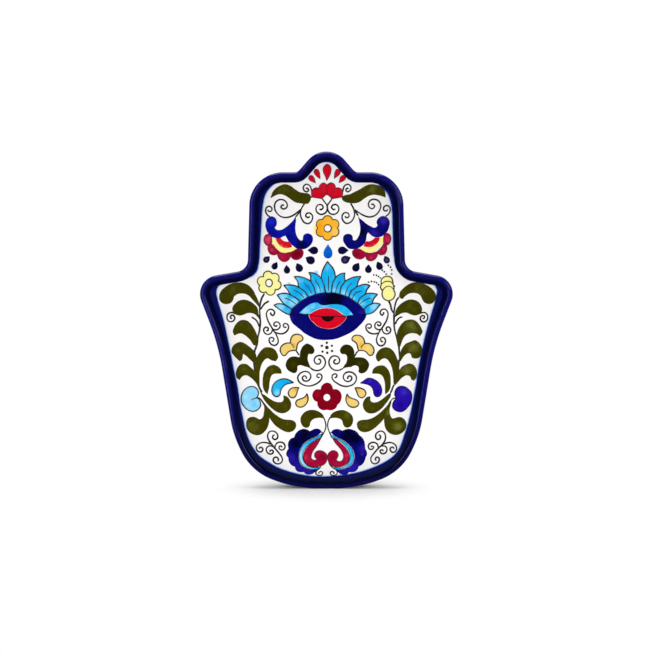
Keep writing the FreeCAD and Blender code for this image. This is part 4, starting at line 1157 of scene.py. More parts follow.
@dataclass
class Carnations:
    """Two crimson carnations under cobalt calyxes, in a fan of navy drops."""

    painter: Painter
    petal_edge: float = 0.8
    thin_drops: tuple[int, ...] = (0, 7, 11)

    def calyxes(self) -> None:
        """Cobalt calyxes with two curled arms each."""
        paint = self.painter
        left = [Corner(295.6, 216.6), (293.4, 220.4), (290, 224), (285, 228), (280.2, 230.3), (276.4, 229.8),
                (274.6, 227.9), (276.2, 225.4), (276.6, 221.4), (274.8, 217.8), (271.4, 216.5), (267.8, 218.4),
                (265.8, 222.4), (265.8, 227.4), (267.5, 232), (271, 236), (276, 237.9), (280.2, 237.8),
                (283.6, 236.1), Corner(285.6, 235.6), (287, 238.2), (288.6, 241), (291, 243.7), (294, 246.5),
                (297.2, 248.5), (301, 249.2), (305.2, 248.7), (309.2, 246.2), (312, 242.4), (312.8, 238.4),
                (311.2, 235), (307.6, 233.6), (304, 235), (303, 238.2), (302.7, 240.2), (301.2, 240.9),
                (299, 239.5), (296.3, 235.2), (295.2, 230.2), (295.2, 225), (295.8, 220.6)]
        right = [Corner(358, 215.4), (359.4, 218), (362, 220), (366, 223.4), (370.6, 226.2), (375.2, 227.6),
                 (377.2, 226), (376.5, 222.2), (378.4, 218.2), (382.6, 216), (387, 217.4), (389.7, 221.4),
                 (389.3, 226), (387.6, 231), (384, 235), (379.4, 237.2), (374.4, 237.1), (370.6, 234.9),
                 Corner(368, 232.4), (366.6, 236), (366.2, 240), (364.4, 243.6), (361.2, 246.6),
                 (357.8, 248.4), (353.6, 249.2), (349, 248.6), (345.2, 244.7), (343, 240.2), (343.8, 235.8),
                 (347.4, 233.8), (351.4, 234.8), (352.9, 237.6), (352.9, 239.8), (355.2, 240.4), (357.6, 238),
                 (359.5, 234), (360.2, 229), (359.6, 223.4), (358.6, 219)]
        paint.pool("blue_calyx_left", left, ROYAL, "blue_calyxes",
                   [Shade(271, 222, 7, -0.8), Shade(283, 232, 7, -0.5), Shade(289, 236, 3, 0.7),
                    Shade(293, 234, 3, -0.5), Shade(302, 246, 9, 1), Shade(310, 238, 4, 0.3)])
        paint.pool("blue_calyx_right", right, COBALT, "blue_calyxes",
                   [Shade(384, 221, 7, -0.9), Shade(374, 233, 6, -0.8), Shade(361, 233, 8, 0.9),
                    Shade(366, 226, 4, 0.6)])

    def flower(self, side: str, petals: Sequence[Path], bands: Path, heart: Path, dark: Sequence[Shade],
               glow: Sequence[Shade]) -> None:
        """One carnation: crimson petals, a yellow band inside them and a red heart.

        Args:
            side: left or right.
            petals: Outline of each petal.
            bands: Outline of the yellow band.
            heart: Outline of the red heart.
            dark: Deep spots of the petals.
            glow: The heart's orange spots.
        """
        paint = self.painter
        for number, petal in enumerate(petals):
            paint.pool(f"carnation_petal_{side}_{number}", petal, CRIMSON, "carnation_petals", dark,
                       edge=WINE_LINER, edge_width=self.petal_edge)
        paint.pool(f"carnation_band_{side}", bands, CREAM, "carnation_bands")
        paint.pool(f"carnation_heart_{side}", heart, SCARLET, "carnation_hearts", glow)

    def flowers(self) -> None:
        """The petals, band and heart of both carnations."""
        self.flower("left", [
            [Corner(271.6, 237), (269.4, 234.4), (266, 235), (263.9, 238.8), (264.6, 243), (267.6, 245.8),
             Corner(271, 245.4), (271.8, 241.6)],
            [Corner(271.2, 243.6), (268.4, 246), (268.2, 250.6), (271, 254.4), (275.4, 254.8),
             Corner(279.4, 251.8), (276.2, 249.2), (273.2, 245.6)],
            [Corner(277.6, 251.2), (277.6, 255.6), (280, 259.8), (284.2, 261.7), (288.4, 260),
             Corner(290.8, 255.8), (290.4, 252.8), (285, 253.4), (281, 252.6)],
            [Corner(290.2, 252.6), (291.2, 257), (295, 259.6), (299.6, 258.8), (302.8, 255.2), (303, 251.2),
             Corner(300.4, 248.6), (296.4, 249.4), (293.6, 251.2)]],
            [Corner(271.4, 238), (272, 241.4), (273.2, 244.4), (275.4, 247.4), (278.2, 250.2), (281.6, 252.2),
             (285.2, 253), (289, 252.4), (292.6, 251.2), Corner(296.6, 249.2), (294.6, 247.6),
             Corner(292.2, 247.4), (289, 248.4), (286, 248.6), (283.2, 248.1), (280.8, 246.8), (278.4, 244.8),
             (276.8, 242.4), Corner(275.4, 238.4), (273.4, 238.8)],
            [Corner(275.6, 238.4), (277, 242.2), (278.6, 244.4), (281, 246.4), (283.4, 247.7), (286, 248.2),
             (289, 248), Corner(292.2, 247), (291.3, 243.8), Corner(290, 241.4), (287.6, 241.7), (285, 241.4),
             (283, 240.6), (281.4, 239.1), Corner(280.3, 237.6), (277.6, 238)],
            [Shade(297, 254, 8, 1), Shade(268, 240, 7, -0.5), Shade(272, 250, 3, -0.35),
             Shade(283, 257, 3, -0.3)],
            [Shade(277, 243, 2.2, -0.8), Shade(281, 246.6, 2.8, -0.9), Shade(286, 248.4, 2.6, -0.8)])
        self.flower("right", [
            [Corner(383.8, 236.4), (385.4, 233.6), (388.8, 233.9), (390.8, 237.4), (390.4, 241.8),
             (387.8, 245), Corner(384, 244.8), (383.4, 240.6)],
            [Corner(383.6, 243.6), (386.4, 246), (386.8, 250.2), (384.4, 254.2), (380.6, 255),
             Corner(376.4, 252.4), (379.4, 249.6), (382, 246.6)],
            [Corner(377.4, 251.6), (377.2, 256), (374.6, 259.6), (370.6, 261), (367, 259.6),
             Corner(365.4, 255.6), (365.6, 253), (369.6, 253.4), (374, 252.6)],
            [Corner(365.8, 252.8), (364.6, 256.8), (361, 259), (356.6, 258.4), (353, 255.2), (352.4, 251.6),
             Corner(355, 248.8), (359.6, 249.2), (362.6, 251)]],
            [Corner(383.8, 237.4), (383.4, 240.6), (382.4, 243.2), (380.6, 246), (377.8, 248.8), (374, 251.4),
             (369.8, 252.8), (366.4, 252.2), (363.6, 250.8), Corner(359.8, 248.6), (361, 247),
             Corner(362.8, 246.6), (365.6, 247.3), (368.8, 247.8), (372, 247.6), (375.2, 245.8), (378, 243),
             Corner(380, 237.4), (382, 238)],
            [Corner(379.8, 237.4), (379.2, 240.4), (377.8, 242.8), (375, 245.2), (372, 247), (369, 247.3),
             (366, 246.9), Corner(363.2, 246.2), (364.6, 243.2), Corner(366.4, 241), (368.4, 241.4),
             (370.6, 240.9), (373, 239.5), Corner(375, 237.5), (377.8, 237.6)],
            [Shade(357, 254, 7, 0.6), Shade(388, 240, 6, -0.3), Shade(384, 250, 3, -0.35),
             Shade(371, 257, 3, -0.3)],
            [Shade(379, 243, 2.2, -0.8), Shade(375, 246.4, 2.8, -0.9), Shade(370, 247.8, 2.6, -0.8)])

    def drops(self) -> None:
        """Navy drops in a fan under the carnations, each as its tip, its head and its radius."""
        drops = (((269.5, 256.5), (266.3, 259.8), 2.9), ((277, 262.3), (274.5, 266.6), 2.8),
                 ((286.5, 265.3), (287, 270.5), 2.9), ((296.8, 263.4), (299.4, 268.3), 3.4),
                 ((305.6, 257.6), (310.8, 260.4), 3.8), ((307.8, 250.3), (314.3, 250.5), 3.6),
                 ((348.4, 250.3), (341.8, 250.5), 3.6), ((350.4, 257.4), (345, 259.9), 3.8),
                 ((358.7, 263), (355.8, 268), 3.4), ((368.7, 264.6), (368.4, 269.8), 3.1),
                 ((377.5, 261.8), (379.6, 266.6), 3.1), ((384.8, 256), (386.8, 260.3), 2.9))
        for number, (tip, head, radius) in enumerate(drops):
            shades = [Shade(*head, radius * 0.8, -0.9)] if number in self.thin_drops else []
            self.painter.pool(f"navy_drop_{number}", drop_outline(tip, head, radius), NAVY, "navy_drops",
                              shades)

    def antennas(self) -> None:
        """Rows of liner dots that spring from the yellow bud."""
        self.painter.dots("antenna_dots", [
            (388.3, 265.4, 1.05), (390.5, 267.2, 1.05), (391.7, 270, 1.05), (391.7, 274, 1.05),
            (382.3, 270.3, 1.05), (384.3, 271.8, 1.05), (386.2, 274.2, 1.05), (373.8, 275, 0.95),
            (376.5, 275.3, 0.95), (378.5, 276.5, 0.95), (380.3, 278, 0.95), (368.5, 282.2, 0.95),
            (371.5, 281.5, 0.95), (374.3, 281.8, 0.95), (376.5, 282.8, 0.95), (378.5, 284.7, 0.95)])

    def make(self) -> None:
        """Lay the pools and draw the lines."""
        self.calyxes()
        self.flowers()
        self.drops()
        self.painter.draw_edges("carnation_edges")
        self.antennas()


@dataclass
class SideFlowers:
    """Yellow rosette on the left and yellow bud on the right, with the stems of the branches."""

    painter: Painter
    rosette_edge: float = 1.3
    bud_edge: float = 1.4
    seam_width: float = 1.3
    seam_lift: float = 0.17 * MM
    stem_width: float = 1.8

    def rosette(self) -> None:
        """Yellow rosette round a white eye."""
        rosette = rosette_outline((269.2, 283.2), 7.5, 4.6, (45, 100, 165, 220, 280, 345))
        self.painter.pool("yellow_rosette", rosette, YELLOW, "yellow_rosette",
                          holes=[ring_outline((269, 283), 3.4, 3.9)], edge=BROWN_LINER,
                          edge_width=self.rosette_edge)

    def bud(self) -> None:
        """Yellow bud of three scales, and the seams between them."""
        paint = self.painter
        bud = [(387.2, 276.3), (391.4, 278), (392.8, 282), Corner(393, 284.4), (393.9, 287.4),
               Corner(393.6, 289.6), (395, 293.6), (393.6, 298.2), (389.2, 300.7), (384.4, 299.2),
               (382.2, 294.8), Corner(382.6, 290.6), (380.6, 287.8), Corner(381.4, 284), (381.2, 280.6),
               (383.4, 277.6)]
        paint.pool("yellow_bud", bud, YELLOW, "yellow_bud", edge=BROWN_LINER, edge_width=self.bud_edge)
        seams = [[(381.6, 284), (384, 282.2), (388, 281.3), (391.4, 282.2), (393.2, 284.4)],
                 [(382.6, 290.6), (385, 287.6), (388.8, 286.3), (391.8, 287.4), (393.6, 289.6)]]
        paint.lines("yellow_bud_seams", seams, BROWN_LINER, self.seam_width, lift=self.seam_lift)

    def stems(self) -> None:
        """Brush lines that carry the leaves."""
        self.painter.lines("branch_stems", [
            [(264.4, 293.6), (262, 297.6), (260.4, 303), (259.6, 310), (259.9, 316), (260.3, 322),
             (259.5, 330), (257.9, 337), (257, 345), (254.8, 350), (254.4, 355), (253.6, 361), (254, 365),
             (254.5, 371)],
            [(269, 301), (264.4, 304), (260.4, 309.6)], [(251.5, 317), (256, 320.2), (259.6, 327.2)],
            [(254.5, 380), (257.5, 384), (259.4, 388), (262, 392.6)],
            [(388.5, 300.6), (390.5, 305), (391.6, 309.8), (393.6, 313.2)],
            [(399, 297), (396.6, 300.4), (395, 306), (394, 313), (394, 320), (394.7, 330), (396.4, 336.4),
             (397.8, 342), (398.9, 347.6), (399.4, 353.1), (399.7, 358.7), (399.2, 362)],
            [(402.5, 317), (400, 317.6), (397.2, 320.3), (395.2, 324.4)],
            [(394.2, 384.8), (392.8, 387.6), (392, 390), (390.4, 393.2)], [(394, 286.2), (395.2, 286)],
            [(256.6, 299.6), (258.6, 303.8), (260.2, 309)], [(257.2, 312.6), (258.4, 316), (260, 319.6)],
            [(256.6, 343.6), (256.2, 347), (254.8, 350.4)], [(254, 358.6), (254, 362), (254.2, 366)],
            [(395.6, 314.8), (394.6, 317), (394.2, 320.4)], [(399, 345), (399.2, 349), (399.4, 352.6)],
            [(399.2, 359.4), (398.8, 363), (398.6, 367)]],
            width=self.stem_width)

    def make(self) -> None:
        """Lay the pools and draw the lines."""
        self.rosette()
        self.bud()
        self.painter.draw_edges("side_flower_edges")
        self.stems()


@dataclass
class Leaf:
    """An olive leaf: its name, outline and CAD node, with its deep and pale spots."""

    name: str
    outline: Path
    node: str
    enamel: Enamel = OLIVE
    shades: tuple[Shade, ...] = ()


@dataclass
class Branches:
    """The leaves that climb both sides, and the two round buds at their feet."""

    painter: Painter
    sky_edge: float = 1.3
    violet_edge: float = 1.2
    curl_width: float = 1.2
    curl_lift: float = 0.17 * MM
    stem_width: float = 1.4

    def outer_leaves(self) -> list[Leaf]:
        """The broad leaves of the two branches."""
        left = "branch_leaves_left"
        right = "branch_leaves_right"
        glare = -0.65
        return [
            Leaf("leaf_left_1", [
                (219.3, 297), (221, 291.5), (225, 287.5), (231, 284), (237, 282.7), (243, 283.2), (249, 286),
                (253, 290.5), (255.4, 295.4), (258, 301), Corner(259.6, 307.6), (256, 303.2), (253, 300),
                (250, 296.5), (246, 294), (241, 293.3), (237, 294), Corner(233.6, 296.6), (232.8, 299.8),
                (230.8, 302.6), (227, 303.9), (223.3, 303.4), (220.2, 300.8)], left,
                shades=(Shade(232, 289, 9, -0.15), Shade(250, 293, 6, 0.3))),
            Leaf("leaf_left_2", [
                Corner(258.4, 317.6), (258, 312), (257.2, 308), (254, 304.5), (249, 301.2), (244, 300),
                (239, 301), (235, 304), (232.6, 308), (233, 311.6), (235.2, 314), (239, 315.3), (243.4, 314.6),
                (247, 313), (251, 312.8), (255, 314.2)], left,
                shades=(Shade(242, 306, 7, -0.12),)),
            Leaf("leaf_left_3", [
                Corner(257.8, 338), (255, 330.9), (252.8, 327), (250, 323.4), (246.7, 320.9), (243.3, 320.2),
                (239.4, 321.2), (236.1, 324.2), (233.9, 328.1), (233, 331.6), Corner(234.4, 335.3),
                (238.4, 333.5), (241.4, 333.2), (245, 335), (248.3, 337.8), (251.1, 340.9), (253.5, 344.8),
                Corner(256.8, 345.8)],
                left, shades=(Shade(241, 326, 7, -0.15),)),
            Leaf("leaf_left_4", [
                Corner(254.4, 363.4), (256.2, 358.4), (255.8, 354.8), (253.9, 351.4), (250.6, 348.1),
                (246.7, 345.1), (243.3, 343.1), (240, 342.3), (237.2, 343.1), (233.9, 345.3), (232.1, 348.3),
                (231.9, 352.4), (233.9, 355.3), (236.8, 358.4), Corner(239.6, 361), (241.6, 359.8),
                (242.2, 357.2), Corner(242.8, 353.6), (246.1, 355.6), (249.4, 358.7)], left,
                shades=(Shade(239, 350, 7, -0.15), Shade(252, 355, 5, 0.3))),
            Leaf("leaf_left_5", [
                Corner(254.6, 371.8), (251.7, 368.7), (249.4, 366.7), (246.7, 364.7), (243.3, 364.1),
                (240, 365.1), (237.8, 367.6), (236.4, 370.9), (236, 375.3), (237.1, 378.1),
                Corner(239.7, 379.8), (241.1, 377.3), (243.3, 375.7), (246.1, 375.1), (248.9, 376.2),
                (252.8, 379.2), (256.1, 382.6), Corner(259.6, 386.4),
                (258, 379)], left, shades=(Shade(243, 370, 7, -0.15),)),
            Leaf("leaf_right_1", [
                Corner(399.2, 296.4), (400.4, 292), (403, 289), (408, 285), (413, 282.8), (418, 282.7),
                (424, 284), (430, 287.5), (434, 291.5), (435.8, 295.6), (435, 300), (431.6, 303.4),
                (428, 303.8), (424.5, 302.2), (422.2, 298.8), Corner(421, 295.8), (418.5, 293.7), (414, 292.7),
                (409, 293.5), (405, 296), (402, 298.8)], right,
                shades=(Shade(421, 288, 10, -0.3), Shade(429, 297, 5, 0.2))),
            Leaf("leaf_right_2", [
                Corner(395.3, 316.8), (396, 310.4), (399, 306), (404, 302), (409, 300), (414, 300.2),
                (419, 303), (421.6, 307.6), (421.6, 311.6), (419, 314.2), (415, 315.2), (411, 314.4),
                (407, 312.6), (402.6, 312.8), (398.4, 314.8)], right, shades=(Shade(410, 306, 8, -0.15),)),
            Leaf("leaf_right_3", [
                Corner(396.6, 337.4), (397.8, 331.4), (399.4, 327.6), (402.2, 323.7), (405.6, 320.9),
                (409.4, 319.9), (413.3, 320.1), (416.7, 322), (419.4, 325.3), (421.3, 328.7), (422.3, 331.8),
                Corner(419.9, 336), (417.8, 334.2), (414.4, 333.1), (411.1, 333), (407.8, 333.9),
                (404.4, 336.4), (402.2, 340.3),
                (400.8, 344.4), Corner(399.2, 349)], right, shades=(Shade(411, 326, 8, glare),)),
            Leaf("leaf_right_4", [
                Corner(400.2, 361.6), (400, 355.4), (401.1, 350.9), (403.3, 347), (406.1, 343.9),
                (409.4, 342.5), (412.2, 341.4), (415, 340.5), (417.4, 341.7), (420, 344.2), (421.7, 347.6),
                (421.9, 350.9), (421.1, 354.8), (418.9, 357.6), (415.6, 358.4), (412.4, 357.6),
                Corner(411.1, 354), (409.2, 353),
                (406.7, 353.7), (403.9, 355.9)], right,
                shades=(Shade(413, 348, 8, glare), Shade(404, 352, 4, 0.3))),
            Leaf("leaf_right_5", [
                Corner(399.2, 370.6), (402.2, 367), (405.6, 365.1), (409.4, 363.9), (412.8, 364.8),
                (415.3, 367.6), (416.7, 371.4), (416.9, 375.3), (415.8, 378.5), Corner(413.6, 380.6),
                (411.7, 379.5), (410.8, 377.4), (409.6, 375.8), (407.2, 375.1), (403.9, 376.2), (400.6, 378.9),
                (397.8, 382), Corner(394.8, 385.4),
                (397, 379)], right, shades=(Shade(408, 370, 8, glare),))]

    def inner_leaves(self) -> list[Leaf]:
        """The dark twin leaves that curl in over the palm."""
        left = "inner_leaves_left"
        right = "inner_leaves_right"
        return [
            Leaf("inner_leaf_left_1", [
                Corner(275.6, 361.2), (277.6, 358.1), (277.8, 355.9), (276.7, 353.1), (274.4, 349.8),
                (271.1, 348), (268.3, 347.6), (265, 347.9), (261.7, 350.3), (258.9, 353.9), (256.7, 358.1),
                (255.3, 362), (254.7, 366.2), (254.4, 371), (256.2, 378.6), Corner(259.4, 386.2), (259.2, 382),
                (259.2, 377.6), (259.4, 372), (260.3, 367.6), (261.7, 363.7), (263.9, 360.3), (266.5, 358.4),
                (268.6, 358.4),
                (270.6, 359.8), (273, 360.6)], left, OLIVE, (Shade(268, 353, 6, -0.2),)),
            Leaf("inner_leaf_left_2", [
                Corner(281.4, 373.6), (281.1, 370.9), (279.4, 368.1), (276.7, 366.2), (273.9, 365.2),
                (271.1, 365.6), (268.3, 367), (265.6, 370.3), (263.9, 373.7), (263.1, 377.6), (262.8, 382),
                (263.1, 386.4), (264.2, 390.2), Corner(267.4, 394.2), (268, 391), (268.8, 388), (269, 385),
                (269.5, 381.2), (270.6, 377), (272, 374.8), (274.2, 373.7), (277.2, 373.4)], left, OLIVE,
                (Shade(272, 369, 5, -0.2),)),
            Leaf("inner_leaf_right_1", [
                Corner(378.6, 361.7), (376.9, 359.8), (376.1, 357), (377.2, 353.1), (380, 349.8),
                (383.3, 348.1), (386.7, 347.6), (390, 348.7), (392.8, 350.9), (395, 354.2), (396.7, 358.1),
                (398.1, 362), (398.9, 366.2), (399, 371), (397.4, 378.6), Corner(393.9, 385), (393.6, 378),
                (393.1, 372), (391.9, 367), (390, 362.6), (387.2, 359.2), (384.6, 358.1), (382, 358.9)], right,
                OLIVE,
                (Shade(386, 353, 6, -0.25),)),
            Leaf("inner_leaf_right_2", [
                Corner(372.4, 373.6), (372.8, 371), (374, 368.8), (376.5, 366.8), (380, 365.8), (383.5, 366),
                (386, 367.5), (388, 370), (389.5, 373.2), (390.3, 377), (390.5, 382), (390.4, 386),
                (389.3, 390), Corner(385.5, 394.2), (385.3, 389.5), (385.2, 384), (384.5, 380), (383, 376.5),
                (380.5, 374.2), (377, 373.5)], right, OLIVE, (Shade(381, 369, 5, -0.25),))]

    def lower_leaves(self) -> list[Leaf]:
        """The three leaves of each lower corner."""
        left = "lower_leaves_left"
        right = "lower_leaves_right"
        return [
            Leaf("lower_leaf_left_1", [
                Corner(259.6, 390), (262.5, 394.3), (265.5, 396), (268, 398), (271, 400), (274.5, 401.8),
                (278, 402.5), (281, 402.5), (283, 401.4), (283.8, 399.5), Corner(283.4, 395.8), (286, 396.5),
                (288.5, 398.5), (290.3, 401.5), (290.9, 405), (290.2, 408.4), (288, 411), (285, 412.7),
                (282, 413.1), (278.5, 412.5), (275, 410.8), (271.5, 408), (268, 404.5), (265, 401),
                (262.6, 397)], left, shades=(Shade(284, 407, 6, -0.17),)),
            Leaf("lower_leaf_left_2", [
                Corner(261, 399), (265, 404.5), (268, 408), (270.5, 410.5), (273, 413), (276, 415.3),
                (279.5, 417.8), (283, 419.5), (287, 420.1), (291, 420.4), (294, 421.6), (295.8, 424.2),
                (295.5, 427.5), (293.5, 430.4), (290, 432), (286.5, 431.9), (282.5, 430.3), (278.5, 427.8),
                (275.5, 425.5), (272.5, 422), (270, 418.4), (268.6, 413), (266, 407)], left,
                shades=(Shade(287, 426, 7, -0.17),)),
            Leaf("lower_leaf_left_3", [
                Corner(263.6, 403.6), (264.5, 408), (264, 413), (263, 417.2), (261.3, 419.3), (258.8, 419.6),
                (257, 418.5), (254.5, 417.4), (251.5, 417.3), (248.5, 418.5), (246.8, 421), (246.3, 424.5),
                (246.8, 428), (248.5, 431), (251.5, 433.5), (254.5, 434.8), (258, 435.1), (261.5, 434),
                (264.5, 431.5), (266.8, 428.5), (268.1, 425), (269, 421), (268.8, 415), (266.8, 408.4)], left,
                shades=(Shade(253, 427, 9, -0.5),)),
            Leaf("lower_leaf_right_1", [
                Corner(370.3, 396.8), (368, 397), (365.8, 398.5), (363.9, 401.5), (363.1, 404.5),
                (363.5, 407.5), (365, 410.5), (367.5, 412.6), (371, 413.4), (374.5, 412.9), (378.5, 410.9),
                (382, 408), (385, 404.5), (388, 400.5), (390.3, 396.7), Corner(391, 393), (388, 394.8),
                (384.5, 397.8), (380.5, 400.8), (377, 402.5), (373.6, 402.9), (371.2, 402), (370, 400)], right,
                shades=(Shade(369, 406, 7, -0.23),)),
            Leaf("lower_leaf_right_2", [
                Corner(392.6, 398.6), (390, 401.5), (388, 405), (385, 408.5), (381.5, 412), (378.5, 414.5),
                (375, 417), (371, 419), (366.5, 420.1), (362, 420.4), (359, 421.4), (357.2, 423.6),
                (357.3, 426.2), (358.5, 429), (361, 431.3), (364.5, 432.1), (368, 431.6), (372, 429.8),
                (375.5, 427.3), (378.5, 424.5), (381.5, 421.5), (384.2, 418), (386.4, 412), (389.4, 405)],
                right,
                shades=(Shade(365, 426, 8, -0.23),)),
            Leaf("lower_leaf_right_3", [
                Corner(391.4, 402), (388.6, 407), (385.8, 413), (384.4, 418), (384.5, 423), (385.3, 427),
                (387, 430.5), (390, 433.2), (393, 434.5), (396.5, 434.9), (400, 433.9), (403.5, 431.5),
                (405.6, 428.5), (406.3, 425), (405.5, 421.5), (403.5, 419), (401, 417.6), (398, 417.5),
                (395, 418.4), (392.4, 418.8), (390.6, 416.6), (389.5, 413), (389.6, 408)], right,
                # painted highlight: these pale spots stand for the glare on this leaf
                shades=(Shade(398, 427, 7, -0.9), Shade(388, 414, 6, -0.6),))]

    def buds(self) -> None:
        """The heart-shaped buds: turquoise on the left, violet blue on the right."""
        paint = self.painter
        left = [Corner(256.6, 397.6), (258, 395.5), (258.4, 393), (257.5, 390), (255.5, 387.8), (253, 386.8),
                (250, 386.8), (247, 388), (244.5, 390), (242.5, 393), (241.3, 396.5), (241.2, 400),
                (242, 403.3), (244, 406.5), (247, 409.5), (250, 411), (253.2, 411.5), (256.5, 410.5),
                (259, 408.5), (260.5, 405.5), (260.3, 402.5), (259.2, 400)]
        right = [Corner(396.8, 398.6), (395.3, 396.5), (394.9, 393.5), (395.6, 390.3), (397.5, 387.8),
                 (400, 386.6), (403, 386.5), (406, 387.5), (408.5, 389.5), (411, 392.5), (411.8, 395.6),
                 (411.5, 399.2), (410.5, 403), (408, 407), (405, 410), (401.5, 411.8), (398.3, 411.5),
                 (395, 410), (393, 407.5), (392.8, 404.5), (394, 401.3)]
        paint.pool("turquoise_bud", left, SKY, "turquoise_bud",
                   [Shade(246, 397, 5, -0.5), Shade(252, 393, 5, 0.2), Shade(254, 405, 5, 0.5),
                    Shade(248, 406, 4, -0.5)], edge=LINER, edge_width=self.sky_edge)
        paint.pool("blue_bud", right, VIOLET, "blue_bud", [Shade(404, 392, 6, -0.4), Shade(400, 405, 6, 0.5)],
                   edge=NAVY, edge_width=self.violet_edge)
        paint.draw_edges("bud_edges")
        paint.lines("bud_curls", [[(257.2, 397.8), (255, 398.6), (252.6, 399.3), (251.2, 400.6)]], LINER,
                    self.curl_width, lift=self.curl_lift)
        stems = [[(257, 397.5), (260, 398.8), (262.5, 402), (264.5, 405.5), (266.6, 408.2)],
                 [(392, 399.2), (394.5, 398.4), (397, 398.8)]]
        paint.lines("bud_stems", stems, width=self.stem_width)

    def make(self) -> None:
        """Lay the leaves and buds."""
        for leaf in self.outer_leaves() + self.inner_leaves() + self.lower_leaves():
            self.painter.pool(leaf.name, leaf.outline, leaf.enamel, leaf.node, leaf.shades)
        self.buds()


